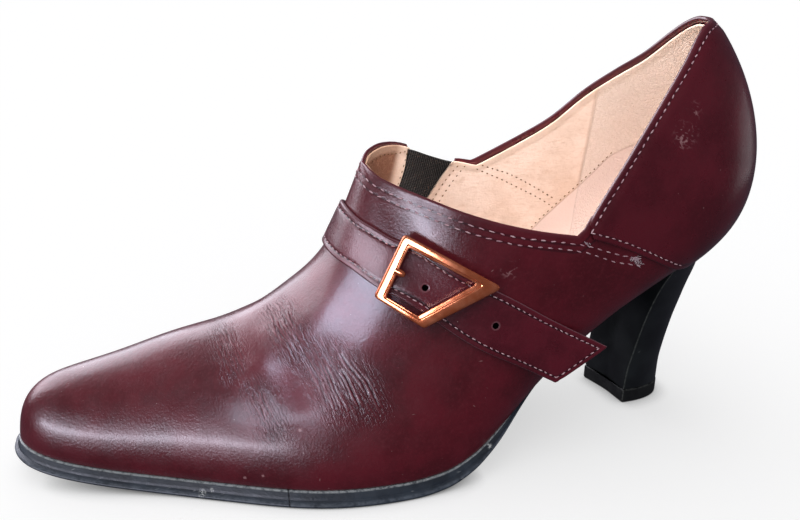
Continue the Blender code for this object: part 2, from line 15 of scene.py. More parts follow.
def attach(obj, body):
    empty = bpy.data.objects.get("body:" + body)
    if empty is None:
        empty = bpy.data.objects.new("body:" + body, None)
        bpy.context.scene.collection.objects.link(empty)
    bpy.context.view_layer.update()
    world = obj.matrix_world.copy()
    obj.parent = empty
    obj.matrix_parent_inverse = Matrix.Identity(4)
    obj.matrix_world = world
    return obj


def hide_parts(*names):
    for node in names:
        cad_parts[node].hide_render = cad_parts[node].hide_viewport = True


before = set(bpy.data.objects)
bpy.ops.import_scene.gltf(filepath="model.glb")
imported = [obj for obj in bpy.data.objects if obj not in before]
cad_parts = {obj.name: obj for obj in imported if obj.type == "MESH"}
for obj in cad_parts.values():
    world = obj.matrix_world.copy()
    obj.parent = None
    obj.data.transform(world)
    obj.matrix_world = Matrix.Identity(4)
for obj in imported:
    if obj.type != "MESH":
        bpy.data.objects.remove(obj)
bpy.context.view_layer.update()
mm = 0.001
print("frame loaded with", len(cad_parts), "solids")


# The last: the form that the leather is pulled over.
last = {
    "outline": [            # feather line: x, y, then how far each wall column starts out and up
        (-90.0, 1.0, -1.5, 12.0), (-86.8, -6.0, -0.5, 12.0), (-77.5, -12.6, 2.2, 11.0),
        (-60.0, -18.6, 3.5, 12.5), (-38.0, -25.6, 4.0, 14.0), (-14.0, -35.2, 4.0, 16.0),
        (8.0, -42.0, 4.0, 18.0), (30.0, -43.4, 4.0, 20.0), (49.0, -40.6, 5.0, 22.0),
        (64.0, -35.0, 7.0, 22.0), (80.0, -29.0, 8.0, 20.0), (98.0, -26.0, 8.0, 16.0),
        (115.0, -24.0, 9.0, 14.0), (130.0, -20.0, 14.0, 12.0), (140.4, -12.0, 20.5, 10.0),
        (145.8, 0.5, 24.5, 8.0), (140.4, 13.0, 20.5, 10.0), (130.0, 20.5, 14.0, 12.0),
        (115.0, 23.5, 9.0, 14.0), (98.0, 24.0, 8.0, 16.0), (80.0, 23.0, 8.0, 20.0),
        (62.0, 25.0, 7.0, 22.0), (44.0, 29.5, 5.0, 22.0), (24.0, 35.0, 4.0, 20.0),
        (3.0, 37.5, 4.0, 18.0), (-17.0, 35.5, 4.0, 16.0), (-40.0, 29.0, 4.0, 14.0),
        (-62.0, 21.5, 3.5, 12.5), (-79.0, 15.0, 2.2, 11.0), (-87.6, 8.2, -0.5, 12.0)],
    "top": [                # top of the columns: x, z, back, side, drop
        (-71.0, 33.6, 14.0, 0.0, 0.0), (-69.5, 33.9, 11.0, 7.0, 0.0), (-63.5, 35.2, 5.0, 10.5, 0.0),
        (-52.5, 38.0, 1.5, 11.5, 0.0), (-37.0, 41.9, 0.0, 15.0, 0.0), (-19.0, 45.6, 0.0, 19.0, 0.0),
        (-2.0, 54.2, 0.0, 20.0, 0.0), (14.6, 70.2, 0.0, 18.0, 0.0), (26.5, 97.0, 0.0, 13.0, 0.0),
        (38.0, 114.0, -4.0, 10.0, -20.0), (58.0, 119.0, -5.0, 6.5, -28.0), (83.0, 122.0, -5.0, 4.5, -30.0),
        (107.0, 128.0, -6.0, 4.5, -31.0), (125.0, 134.0, -11.5, 5.6, -31.0),
        (136.8, 138.5, -22.5, 6.0, -30.0), (142.0, 138.5, -28.0, 0.0, -30.0)],
    "ridgeY": [2.0, 2.0, 2.0, 2.2, 2.5, 2.5, 2.0, 1.0, 0.5],
    "rimOuter": [0.0, 12.5, 22.5, 24.0, 20.6, 15.8, 9.2, 0.0],
    "rimInner": [0.0, 12.5, 21.5, 24.0, 20.6, 15.6, 9.2, 0.0],
    "arch": [(34, 0), (44, 1.0), (54, 4.6), (66, 12.8), (80, 24.6), (96, 37.4), (112, 47.8), (128, 54.8),
             (140, 57.8), (150, 59.2)],
    "collarOuter": [(26.5, 97.0), (30, 94.2), (36, 91.9), (44, 89.4), (54, 86.0), (66, 82.3), (78, 79.2),
                    (90.5, 76.6)],
    "quarterOuter": [(90.5, 76.6), (97, 87.0), (104, 96.8), (111.3, 107.0), (118.3, 116.4), (126, 126.4),
                     (132, 134.0), (136, 137.0), (142.0, 138.0)],
    "collarInner": [(26.5, 97.0), (27.4, 98.6), (29.5, 99.6), (33, 99.9), (38, 99.0), (47, 95.8), (55, 92.2),
                    (63, 89.2), (72, 87.0)],
    "quarterInner": [(72, 87.0), (80, 90.4), (90, 95.2), (100, 101.0), (113, 112.4), (122, 118.8),
                     (131, 125.0), (137, 131.4), (142.0, 138.0)],
    "seamOuter": [(10.9, 0.52), (11.24, 0.46), (11.58, 0.385), (11.97, 0.289), (12.37, 0.188), (12.77, 0.10),
                  (13.3, 0.06), (15.0, 0.06)],
    "seamInner": [(10.05, 0.60), (10.35, 0.53), (10.8, 0.45), (11.4, 0.36), (12.0, 0.26), (12.5, 0.16),
                  (12.9, 0.09), (13.4, 0.06), (15.0, 0.06)],
    "notch": (9.15, 9.38, 10.0, 0.30),     # front, point, back and depth of the notch for the elastic
    "soleThick": 4.6, "shankThick": 2.0, "shankFrom": 36.0, "shankTo": 80.0,
    "toeSpring": 8.0, "treadFront": -28.0, "toeX": -91.5, "archLead": 8.0,
}
loopLength = 30             # stations round the feather line, from the toe along the outer side
heelStation = 15
throatStation = 8
stationLength = 22.0        # about how far apart the stations are
columnLength = 75.0         # about how long a wall column is
nudge = 0.001               # small step for slopes


def sideStation(k):
    # station counted from the toe, alike on both sides
    return np.where(k <= heelStation, k, loopLength - k)


class Spline:
    # cubic through rows at whole-number stations, closed or with free ends
    def __init__(self, rows, loop=False):
        self.rows = np.array(rows, float)
        self.loop = loop
        n = len(self.rows)
        a = np.zeros((n, n))
        b = np.zeros_like(self.rows)
        for i in range(n):
            if not loop and i in (0, n - 1):
                a[i, i] = 1.0
                continue
            a[i, (i - 1) % n] += 1.0
            a[i, i] += 4.0
            a[i, (i + 1) % n] += 1.0
            b[i] = 6.0 * (self.rows[(i - 1) % n] - 2 * self.rows[i] + self.rows[(i + 1) % n])
        self.bend = np.linalg.solve(a, b)

    def at(self, k, slope=False):
        k = np.asarray(k, float)
        n = len(self.rows)
        i = np.floor(k).astype(int)
        if not self.loop:
            i = np.clip(i, 0, n - 2)
        t = (k - i)[..., None]
        p, q = self.rows[i % n], self.rows[(i + 1) % n]
        m, c = self.bend[i % n], self.bend[(i + 1) % n]
        if slope:
            return q - p - m * (3 * (1 - t) ** 2 - 1) / 6 + c * (3 * t ** 2 - 1) / 6
        return p * (1 - t) + q * t + m * ((1 - t) ** 3 - (1 - t)) / 6 + c * (t ** 3 - t) / 6


def level(table, x):
    # smooth height along a short (x, z) table that never overshoots its rows
    xs, zs = np.array(table, float).T
    h = np.diff(xs)
    d = np.diff(zs) / h
    m = np.zeros(len(xs))
    m[0], m[-1] = d[0], d[-1]
    for i in range(1, len(xs) - 1):
        if d[i - 1] * d[i] > 0:
            w1, w2 = 2 * h[i] + h[i - 1], h[i] + 2 * h[i - 1]
            m[i] = (w1 + w2) / (w1 / d[i - 1] + w2 / d[i])
    x = np.clip(np.asarray(x, float), xs[0], xs[-1])
    i = np.clip(np.searchsorted(xs, x, side="right") - 1, 0, len(xs) - 2)
    t = (x - xs[i]) / h[i]
    a = zs[i] * (1 + 2 * t) * (1 - t) ** 2 + zs[i + 1] * t * t * (3 - 2 * t)
    return a + h[i] * (m[i] * t * (1 - t) ** 2 - m[i + 1] * t * t * (1 - t))


topRows = last["top"]
ridgeRows = last["ridgeY"]
rimStart = len(last["rimOuter"]) - 1
outlineCurve = Spline(last["outline"], loop=True)
topLine = Spline([(row[0], row[1]) for row in topRows + topRows[heelStation - 1:0:-1]], loop=True)
ridgeSide = Spline([[y] for y in ridgeRows[:0:-1] + ridgeRows])
ridgeBack = Spline([[row[2]] for row in topRows[throatStation:0:-1] + topRows[:throatStation + 1]])
sidePull = Spline([[-row[3]] for row in topRows]
                  + [[row[3]] for row in topRows[heelStation - 1:0:-1]], loop=True)
rimRows = topRows[:throatStation:-1] + topRows[throatStation:] + topRows[heelStation - 1:throatStation:-1]
rimPull = Spline([(-row[2], row[4]) for row in rimRows])
rimOuter = Spline([[-y] for y in last["rimOuter"][:0:-1] + last["rimOuter"]]
                  + [[y] for y in last["rimInner"][-2:0:-1]])
rimInner = Spline([[y] for y in last["rimInner"][:0:-1] + last["rimInner"]]
                  + [[-y] for y in last["rimOuter"][-2:0:-1]])


def underLine(x):
    # underside of the sole: toe spring, flat tread, arch
    x = np.asarray(x, float)
    reach = np.maximum(0, last["treadFront"] - x) / (last["treadFront"] - last["toeX"])
    first = last["arch"][0][0]
    arch = level([(first - last["archLead"], 0)] + last["arch"], np.maximum(x, first))
    return last["toeSpring"] * reach ** 2 + np.where(x > first, arch, 0)


def baseLine(x):
    # plane that the upper stands on, on top of the sole
    thinned = smooth(last["shankFrom"], last["shankTo"], x)
    return underLine(x) + last["soleThick"] + (last["shankThick"] - last["soleThick"]) * thinned


def feather(k, inset=0.0):
    # plan position on the feather line moved in by inset, the outward direction there, and the table row
    row = outlineCurve.at(k)
    run = outlineCurve.at(k, slope=True)[..., :2]
    run = run / np.linalg.norm(run, axis=-1, keepdims=True)
    out = np.stack([run[..., 1], -run[..., 0]], -1)
    return row[..., :2] - out * np.asarray(inset)[..., None], out, row


def shell(k, w):
    # outer face of the upper: k runs round the feather line, w goes up the column from 0 to 1
    k, w = np.broadcast_arrays(np.asarray(k, float) % loopLength, np.asarray(w, float))
    flat, out, row = feather(k)
    foot = np.concatenate([flat, baseLine(flat[..., 0])[..., None]], -1)
    rise = np.concatenate([out * row[..., 2:3], row[..., 3:4]], -1)
    outer = k <= heelStation
    a = sideStation(k)
    xz = topLine.at(a)
    behind = np.maximum(a - throatStation, 0) + rimStart
    half = np.where(outer, rimOuter.at(behind)[..., 0], rimInner.at(behind)[..., 0])
    y = ridgeSide.at(np.minimum(a, throatStation) + throatStation)[..., 0] + half
    top = np.stack([xz[..., 0], y, xz[..., 1]], -1)
    run = topLine.at(np.maximum(a, 0.05), slope=True)
    back = ridgeBack.at(np.minimum(a, throatStation) + throatStation)[..., 0]
    lean = rimPull.at(behind)
    front = a <= throatStation
    dx = np.where(front, -back, lean[..., 0])
    dz = np.where(front, -back * run[..., 1] / run[..., 0], lean[..., 1])
    pull = np.stack([dx, sidePull.at(k)[..., 0], dz], -1)
    w = w[..., None]
    v = 1 - w
    return foot * v ** 3 + 3 * (foot + rise) * v * v * w + 3 * (top + pull) * v * w * w + top * w ** 3


def unit(v):
    return v / np.linalg.norm(v, axis=-1, keepdims=True)


def facing(k, w):
    # outward unit normal of the shell
    k = np.asarray(k, float)
    w = np.clip(w, 2 * nudge, 1 - 2 * nudge)
    along = shell(k + nudge, w) - shell(k - nudge, w)
    return unit(np.cross(along, shell(k, w + nudge) - shell(k, w - nudge)))


def skin(k, w, lift):
    return shell(k, w) + facing(k, w) * np.asarray(lift, float)[..., None]


def ridgeFacing(a):
    # normal on the ridge of the vamp, the same seen from both sides
    run = topLine.at(np.maximum(a, 0.05), slope=True)
    return unit(np.stack([-run[..., 1], 0 * run[..., 0], run[..., 0]], -1))


def collarHeight(x, side):
    # height of the collar edge, ahead of the corner at the back quarter and behind it
    ahead, behind = last["collar" + side], last["quarter" + side]
    return np.where(x < ahead[-1][0], level(ahead, x), level(behind, x))


def collar(k):
    # share of each column that lies under the collar edge
    k = np.asarray(k, float) % loopLength
    lo, hi = np.full(k.shape, 0.3), np.ones(k.shape)
    for _ in range(40):
        mid = (lo + hi) / 2
        p = shell(k, mid)
        outer, inner = collarHeight(p[..., 0], "Outer"), collarHeight(p[..., 0], "Inner")
        above = p[..., 2] > np.where(k <= heelStation, outer, inner)
        hi = np.where(above, mid, hi)
        lo = np.where(above, lo, mid)
    return np.where(sideStation(k) <= throatStation, 1.0, (lo + hi) / 2)


def notchDrop(k, notch):
    # depth of the notch for the elastic, as a share of the column, on the inner side only
    front, point, back, depth = notch
    k = np.asarray(k, float) % loopLength
    a = loopLength - k
    ahead = (a - front) / (point - front)
    behind = (back - a) / (back - point)
    return np.where(k > heelStation, depth * np.clip(np.minimum(ahead, behind), 0, 1), 0)


def stretch(k, w):
    # millimetres of surface for one whole share of the column
    w = np.clip(w, 2 * nudge, 1 - 2 * nudge)
    return np.linalg.norm(shell(k, w + nudge) - shell(k, w - nudge), axis=-1) / (2 * nudge)


def smooth(low, high, x):
    t = np.clip((np.asarray(x, float) - low) / (high - low), 0, 1)
    return t * t * (3 - 2 * t)


# Mesh building
class Patches:
    # grids of points that are welded into one mesh, with a UV and named values per point
    def __init__(self):
        self.points, self.faces, self.uvs, self.values = [], [], [], {}
        self.count = 0

    def grid(self, points, uv=None, **values):
        n, m = points.shape[:2]
        index = np.arange(n * m).reshape(n, m) + self.count
        quads = np.stack([index[:-1, :-1], index[1:, :-1], index[1:, 1:], index[:-1, 1:]], -1)
        self.faces.extend(quads.reshape(-1, 4).tolist())
        self.points.append(points.reshape(-1, 3))
        u, v, _ = np.broadcast_arrays(*(uv or (0.0, 0.0)), index)
        self.uvs.append(np.stack([u, v], -1).reshape(-1, 2))
        for name, value in values.items():
            held = self.values.setdefault(name, np.zeros(0))
            blank = np.zeros(self.count - len(held))
            self.values[name] = np.concatenate([held, blank, np.broadcast_to(value, (n, m)).ravel()])
        self.count += n * m

    def make(self, name, material, sharp=None, weld=2e-6):
        mesh = bpy.data.meshes.new(name)
        mesh.from_pydata((np.concatenate(self.points) * mm).tolist(), [], self.faces)
        corner = np.zeros(len(mesh.loops), int)
        mesh.loops.foreach_get("vertex_index", corner)
        layer = mesh.uv_layers.new(name="UVMap")
        layer.data.foreach_set("uv", np.concatenate(self.uvs)[corner].astype(np.float32).ravel())
        for key, value in self.values.items():
            value = np.concatenate([value, np.zeros(self.count - len(value))])
            mesh.attributes.new(key, "FLOAT", "POINT").data.foreach_set("value", value.astype(np.float32))
        shape = bmesh.new()
        shape.from_mesh(mesh)
        bmesh.ops.remove_doubles(shape, verts=shape.verts, dist=weld)
        bmesh.ops.dissolve_degenerate(shape, edges=shape.edges, dist=1e-7)
        rim = [e for e in shape.edges if len(e.link_faces) == 1]
        bmesh.ops.holes_fill(shape, edges=rim, sides=8)
        bmesh.ops.recalc_face_normals(shape, faces=shape.faces)
        openEdges = sum(1 for e in shape.edges if len(e.link_faces) != 2)
        shape.to_mesh(mesh)
        shape.free()
        return finished(name, mesh, material, sharp, openEdges)


def added(thing):
    bpy.context.scene.collection.objects.link(thing)
    return thing


def finished(name, mesh, material, sharp=None, openEdges=0):
    mesh.polygons.foreach_set("use_smooth", [True] * len(mesh.polygons))
    if sharp is not None:
        mesh.set_sharp_from_angle(angle=math.radians(sharp))
    if material is not None:
        mesh.materials.clear()
        mesh.materials.append(material)
    thing = added(bpy.data.objects.new(name, mesh))
    triangles = sum(len(p.vertices) - 2 for p in mesh.polygons)
    print(name, "made with", triangles, "triangles,", openEdges, "open edges")
    return thing


def place(thing, slot, *solids):
    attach(thing, "root")
    if solids:
        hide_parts(*solids)
    return thing


# Shader sums
def plug(tree, socket, value):
    if isinstance(value, Wire):
        tree.links.new(value.socket, socket)
    else:
        socket.default_value = value


def addNode(tree, kind, settings=None, sockets=None):
    # settings first, then the values or links of the sockets
    node = tree.nodes.new(kind)
    for key, value in (settings or {}).items():
        if key == "stops":
            ramp = node.color_ramp.elements
            while len(ramp) < len(value):
                ramp.new(1.0)
            for stop, (at, colour) in zip(ramp, value):
                stop.position = at
                stop.color = colour
        else:
            setattr(node, key, value)
    for key, value in (sockets or {}).items():
        plug(tree, node.inputs[key], value)
    return node


def wire(tree, kind, settings=None, sockets=None, out=0):
    # one output of a new node, ready for sums
    return Wire(addNode(tree, kind, settings, sockets).outputs[out])


class Wire:
    # an output socket that takes part in Python sums
    def __init__(self, socket):
        self.socket = socket

    def sum(self, operation, first, second):
        return wire(self.socket.id_data, "ShaderNodeMath", {"operation": operation}, {0: first, 1: second})

    def __add__(self, other):
        return self.sum("ADD", self, other)

    def __radd__(self, other):
        return self.sum("ADD", other, self)

    def __sub__(self, other):
        return self.sum("SUBTRACT", self, other)

    def __rsub__(self, other):
        return self.sum("SUBTRACT", other, self)

    def __mul__(self, other):
        return self.sum("MULTIPLY", self, other)

    def __rmul__(self, other):
        return self.sum("MULTIPLY", other, self)

    def __pow__(self, other):
        return self.sum("POWER", self, other)

    def most(self, other):
        return self.sum("MAXIMUM", self, other)

    def size(self):
        return self.sum("ABSOLUTE", self, 0.0)


def paint(r, g, b):
    # colour as seen on screen, 0 to 255, as the shader's linear colour
    def linear(c):
        c = c / 255
        return c / 12.92 if c <= 0.04045 else ((c + 0.055) / 1.055) ** 2.4
    return (linear(r), linear(g), linear(b), 1.0)


class Finish:
    # one material: its constants on the shader, and what varies linked to it
    def __init__(self, name, **constants):
        self.material = bpy.data.materials.new(name)
        self.material.use_nodes = True
        self.tree = self.material.node_tree
        self.shader = self.tree.nodes["Principled BSDF"]
        for key, value in constants.items():
            self.shader.inputs[key.replace("_", " ")].default_value = value
        where = self.node("ShaderNodeTexCoord", out="Object")
        self.spot = self.node("ShaderNodeVectorMath", {"operation": "SCALE"}, {0: where, "Scale": 1 / mm})

    def node(self, kind, settings=None, sockets=None, out=0):
        return wire(self.tree, kind, settings, sockets, out)

    def vector(self, x, y, z):
        return self.node("ShaderNodeCombineXYZ", None, {0: x, 1: y, 2: z})

    def noise(self, scale, detail=3.0, rough=0.55, where=None, warp=0.0, out=0):
        return self.node("ShaderNodeTexNoise", None, {
            "Vector": where or self.spot, "Scale": scale, "Detail": detail, "Roughness": rough,
            "Distortion": warp}, out)

    def cells(self, scale, where=None, feature="F1", out="Distance"):
        return self.node("ShaderNodeTexVoronoi", {"feature": feature},
                         {"Vector": where or self.spot, "Scale": scale}, out)

    def turned(self, angles, scale):
        return self.node("ShaderNodeMapping", None, {"Vector": self.spot, "Rotation": angles, "Scale": scale})

    def away(self, spot):
        # distance from a point, in millimetres
        return self.node("ShaderNodeVectorMath", {"operation": "DISTANCE"}, {0: self.spot, 1: spot}, "Value")

    def wave(self, value, length):
        return self.node("ShaderNodeMath", {"operation": "SINE"}, {0: value * (2 * math.pi / length)})

    def step(self, value, low, high, start=0.0, end=1.0):
        return self.node("ShaderNodeMapRange", {"interpolation_type": "SMOOTHSTEP"},
                         {"Value": value, "From Min": low, "From Max": high, "To Min": start, "To Max": end})

    def mix(self, factor, first, second):
        return self.node("ShaderNodeMix", {"data_type": "RGBA"}, {0: factor, 6: first, 7: second}, 2)

    def held(self, name):
        return self.node("ShaderNodeAttribute", {"attribute_name": name}, None, "Fac")

    def alongUv(self, out):
        uv = self.node("ShaderNodeUVMap", {"uv_map": "UVMap"})
        return self.node("ShaderNodeSeparateXYZ", None, {0: uv}, out)

    def some(self, where, scale, low, high, density):
        # soft dots on a share of the cells
        kept = self.node("ShaderNodeSeparateColor", None, {0: self.cells(scale, where, out="Color")})
        kept = self.step(kept, 1 - density, 1 - density + 0.02)
        return self.step(self.cells(scale, where), low, high) * kept

    def dashes(self, angles, length, width, density):
        # short thin marks
        where = self.turned(angles, (1 / length, 1 / width, 1 / length))
        return self.some(where, 1.0, 0.16, 0.06, density)

    def dots(self, scale, size, density):
        return self.some(None, scale, size, size * 0.55, density)

    def hairs(self, angles):
        # long fine lines that wander
        drawn = self.noise(1.0, 2.0, 0.5, self.turned(angles, (0.16, 1.1, 0.16)))
        return self.step((drawn - 0.5).size(), 0.035, 0.006)

    def finish(self, colour=None, rough=None, height=None, metal=None, coat=None):
        sockets = {"Base Color": colour, "Roughness": rough, "Metallic": metal, "Coat Weight": coat}
        for key, value in sockets.items():
            if value is not None:
                plug(self.tree, self.shader.inputs[key], value)
        if height is not None:                      # height is in millimetres
            bump = {"Strength": 1.0, "Distance": mm, "Height": height}
            plug(self.tree, self.shader.inputs["Normal"], self.node("ShaderNodeBump", None, bump, "Normal"))
        return self.material


# Oxblood leather, for the upper, the back quarter and the strap
leatherLooks = {
    "upper": {
        "deep": paint(94, 20, 32), "body": paint(115, 28, 43), "warm": paint(124, 42, 54), "rough": 0.30,
        "grain": 0.05, "wrinkle": 0.10, "crack": 0.10, "dust": 0.14, "marks": 0.06, "coat": 0.28},
    "quarter": {
        "deep": paint(92, 21, 34), "body": paint(110, 28, 43), "warm": paint(110, 36, 48), "rough": 0.28,
        "grain": 0.03, "wrinkle": 0.0, "crack": 0.0, "dust": 0.12, "marks": 0.04, "coat": 0.32},
    "strap": {
        "deep": paint(92, 21, 35), "body": paint(114, 29, 46), "warm": paint(120, 42, 56), "rough": 0.29,
        "grain": 0.04, "wrinkle": 0.10, "crack": 0.05, "dust": 0.08, "marks": 0.05, "coat": 0.28},
}
# Rubbed places, each a point and how far it spreads: clouds of scratches if wide, else specks
scuffs = {
    "upper": [((66.8, -30.8, 68.8), 4.0), ((-18.5, -34.0, 8.0), 0.7), ((-12.9, -36.2, 9.4), 0.6),
              ((-0.6, -35.8, 24.2), 0.7)],
    "quarter": [((128.2, -21.4, 112.5), 4.5), ((125.5, -23.2, 106.0), 6.0), ((124.5, -23.6, 104.0), 3.5),
                ((131.8, -26.5, 77.4), 0.5), ((129.4, -26.8, 75.7), 0.45), ((135.1, -26.0, 77.0), 0.45),
                ((140.7, -24.6, 85.3), 0.5), ((139.1, -23.9, 93.6), 0.45), ((107.1, -27.2, 90.4), 0.45)],
    "strap": [],
}
scratchCloud = 2.5          # a scuff that spreads further than this is scratches


def leather(name, kind, seams=(), cutEdge=False, holes=()):
    look = leatherLooks[kind]
    f = Finish(name, Coat_Weight=look["coat"], Coat_Roughness=0.18, Coat_IOR=1.5, IOR=1.5)
    cloudy = f.noise(0.045, 4.0, 0.6)
    speckle = f.noise(0.9, 3.0, 0.6)
    colour = f.mix(f.step(cloudy, 0.36, 0.64), look["deep"], look["body"])
    colour = f.mix(f.step(speckle, 0.45, 0.75) * 0.45, colour, look["warm"])

    # fine wrinkles and cracks where the leather is worked soft, leaning against the columns
    flex = f.held("flex")
    v = f.alongUv("Y")
    across = f.alongUv("X") * (loopLength * stationLength) + v * 21.0
    sway = f.noise(0.45, 2.0)
    lines = f.vector(across, v * 6.0, 0.0)
    finer = f.vector(across * 2.2, v * 14.0, 4.0)
    broken = f.vector(across * 1.15 + sway * 2.4, v * 9.0 + sway * 1.5, 0.0)
    wrinkle = f.noise(1.0, 2.0, 0.5, lines, 0.4) + f.noise(1.0, 2.0, 0.5, finer, 0.4) * 0.5
    crack = f.step(f.cells(1.0, broken, "DISTANCE_TO_EDGE"), 0.15, 0.0) * flex
    grain = f.cells(1.3, feature="SMOOTH_F1") + f.noise(2.4, 3.0, 0.6) * 1.2
    # painted shade: the crack lines are darkened
    colour = f.mix(crack * look["crack"] * 4.0, colour, paint(50, 12, 24))
    height = wrinkle * flex * look["wrinkle"] - crack * look["crack"] + grain * look["grain"]
    height = height + f.noise(0.25, 3.0) * 0.06

    # dust and light marks
    dust = f.dots(0.30, 0.07, look["dust"]).most(f.dots(0.6, 0.08, look["dust"] * 0.5))
    marks = f.dashes((0.4, 0.9, 0.7), 6.0, 0.35, look["marks"])
    marks = marks.most(f.dashes((1.2, 0.3, 2.2), 4.5, 0.3, look["marks"]))
    marks = marks * f.step(f.noise(0.35, 2.0), 0.42, 0.6)
    colour = f.mix((dust * 0.6).most(marks * 0.45), colour, paint(200, 160, 160))
    rough = f.step(f.noise(0.16, 3.0), 0.3, 0.7, look["rough"] - 0.02, look["rough"] + 0.05)
    rough = rough + dust * 0.08 + marks * 0.1

    # modelled wrinkles: painted shade darkens the troughs, the ridges are rubbed pale
    fold = f.held("fold")
    colour = f.mix(f.step(fold, 0.0, -0.11) * 0.42, colour, paint(52, 12, 22))
    colour = f.mix(f.step(fold, 0.02, 0.09) * 0.3, colour, paint(176, 112, 124))

    torn = f.noise(2.2, 4.0, 0.7)
    hair = f.hairs((0.5, 0.2, 1.0)).most(f.hairs((1.1, 0.7, 0.3))) * f.step(f.noise(0.7, 3.0), 0.44, 0.6)
    for spot, spread in scuffs[kind]:
        far = f.away(spot)
        if spread > scratchCloud:
            rubbed = f.step(far, spread, spread * 0.2) * hair * 0.6
        else:
            rubbed = f.step(far + (torn - 0.5) * spread * 1.6, spread, spread * 0.4) * 0.8
        colour = f.mix(rubbed, colour, paint(196, 146, 152))
    for reach, row in seams:                        # the thread pulls the leather in along each stitch row
        gap = (f.held(reach) - row).size()
        height = height - f.step(gap, 0.8, 0.0) * 0.05
        # painted shade: the leather is darkened along the groove of each stitch row
        colour = f.mix(f.step(gap, 0.55, 0.15) * (0.75 if cutEdge else 0.5), colour, paint(36, 9, 20))
    if cutEdge:
        side = f.step(f.held("edge"), 0.55, 0.9)
        colour = f.mix(side * 0.75, colour, paint(140, 96, 108))
        rough = rough + side * 0.25
    else:
        colour = f.mix(f.step(f.held("edge"), 0.9, 0.2) * 0.3, colour, paint(112, 58, 68))
    if not holes:
        return f.finish(colour, rough, height)
    whole = 1.0
    for hole in holes:
        far = f.away(hole)
        pit = f.step(far, 1.1, 0.95)
        # painted highlight: a pale ring round each hole
        colour = f.mix(f.step((far - 1.25).size(), 0.4, 0.1) * 0.2, colour, paint(196, 150, 160))
        # painted shade: each hole is painted near black
        colour = f.mix(pit, colour, paint(7, 4, 5))
        rough = rough + pit * 0.7
        whole = whole * (1 - pit)
    return f.finish(colour, rough, height, metal=1 - whole, coat=whole * look["coat"])  # no gloss in the pits


# Upper: outer leather with its creases, on the last
upper = {
    "columns": [(0.0, 4.4, 44), (4.4, 5.0, 22), (5.0, 5.6, 40), (5.6, 7.1, 150), (7.1, 8.0, 16),
                (8.0, 8.8, 16), (8.8, 15.0, 48)],               # from, to, how many
    "rowsOut": 104, "rowsIn": 14, "thick": 1.2, "underQuarter": 3.2,
    "stitchRows": (2.5, 4.8), "stitchTo": 10.2,
    "seed": 7, "softReach": 4.0,        # how far round a wrinkle the leather is worked soft
    "ridgeBand": 12.0,                  # wrinkles of both sides meet this near the ridge
}
# Wrinkle groups as (station, share of the column): start, middle and end of the first and last line
wrinkles = [
    {"start": ((5.97, 0.665), (6.59, 0.582)), "mid": ((6.16, 0.502), (6.80, 0.456)),
     "end": ((6.14, 0.276), (6.97, 0.335)), "count": 18, "depth": 0.25, "width": 0.27},
    {"start": ((5.62, 0.940), (6.05, 0.929)), "mid": ((5.75, 0.745), (6.12, 0.736)),
     "end": ((5.90, 0.560), (6.34, 0.600)), "count": 14, "depth": 0.16, "width": 0.28},
    {"start": ((5.10, 0.564), (5.36, 0.520)), "mid": ((5.17, 0.439), (5.41, 0.427)),
     "end": ((5.26, 0.298), (5.52, 0.330)), "count": 10, "depth": 0.15, "width": 0.27},
    {"start": ((4.74, 0.950), (4.98, 0.940)), "mid": ((4.80, 0.766), (5.00, 0.782)),
     "end": ((4.85, 0.620), (5.04, 0.635)), "count": 8, "depth": 0.11, "width": 0.28},
]
# Broad bends of the leather: points on it, depth (trough below zero) and width
bends = [
    {"line": [(5.60, 0.97), (5.64, 0.82), (5.73, 0.70), (5.84, 0.56), (5.92, 0.38)],
     "depth": -0.9, "width": 8.5},
    {"line": [(4.85, 0.91), (4.83, 0.76), (4.95, 0.64), (5.19, 0.44), (5.30, 0.33)],
     "depth": -0.35, "width": 6.0},
    {"line": [(6.60, 0.68), (6.78, 0.607), (6.85, 0.54)], "depth": 0.9, "width": 9.0},
    {"line": [(5.35, 0.62), (5.48, 0.50), (5.62, 0.40)], "depth": 0.5, "width": 5.0},
]
innerShare = 0.65       # the inner side bends less


def lineDistance(points, line):
    # distance of each point to a polyline, and how far along it the nearest place is
    a, b = line[:-1], line[1:]
    d = b - a
    run = (d * d).sum(-1)
    t = np.clip((np.einsum("nc,mc->nm", points, d) - (a * d).sum(-1)) / run, 0, 1)
    gap = points[:, None] - (a + t[..., None] * d)
    gap = np.sqrt((gap * gap).sum(-1))
    best = gap.argmin(1)
    reach = np.concatenate([[0], np.cumsum(np.sqrt(run))])
    rows = np.arange(len(points))
    return gap[rows, best], (reach[best] + t[rows, best] * np.sqrt(run)[best]) / reach[-1]


def wrinkleLine(group, share, rng, side):
    # one wrinkle of a group, as points on the last
    ends = []
    for key in ("start", "mid", "end"):
        (k0, w0), (k1, w1) = group[key]
        lean = share + rng.uniform(-0.9, 0.9) / group["count"]
        ends.append((k0 + (k1 - k0) * lean, w0 + (w1 - w0) * lean))
    first, mid, final = np.array(ends)
    bend = 2 * mid - (first + final) / 2
    t = np.linspace(rng.uniform(0, 0.45), 1 - rng.uniform(0, 0.45), 22)[:, None]
    kw = first * (1 - t) ** 2 + 2 * bend * t * (1 - t) + final * t ** 2
    kw[:, 0] += 0.012 * np.sin(t[:, 0] * rng.uniform(9, 16) + rng.uniform(0, 6))
    k = kw[:, 0] if side < 0 else loopLength - kw[:, 0]
    return shell(k, np.minimum(kw[:, 1], 1.0))


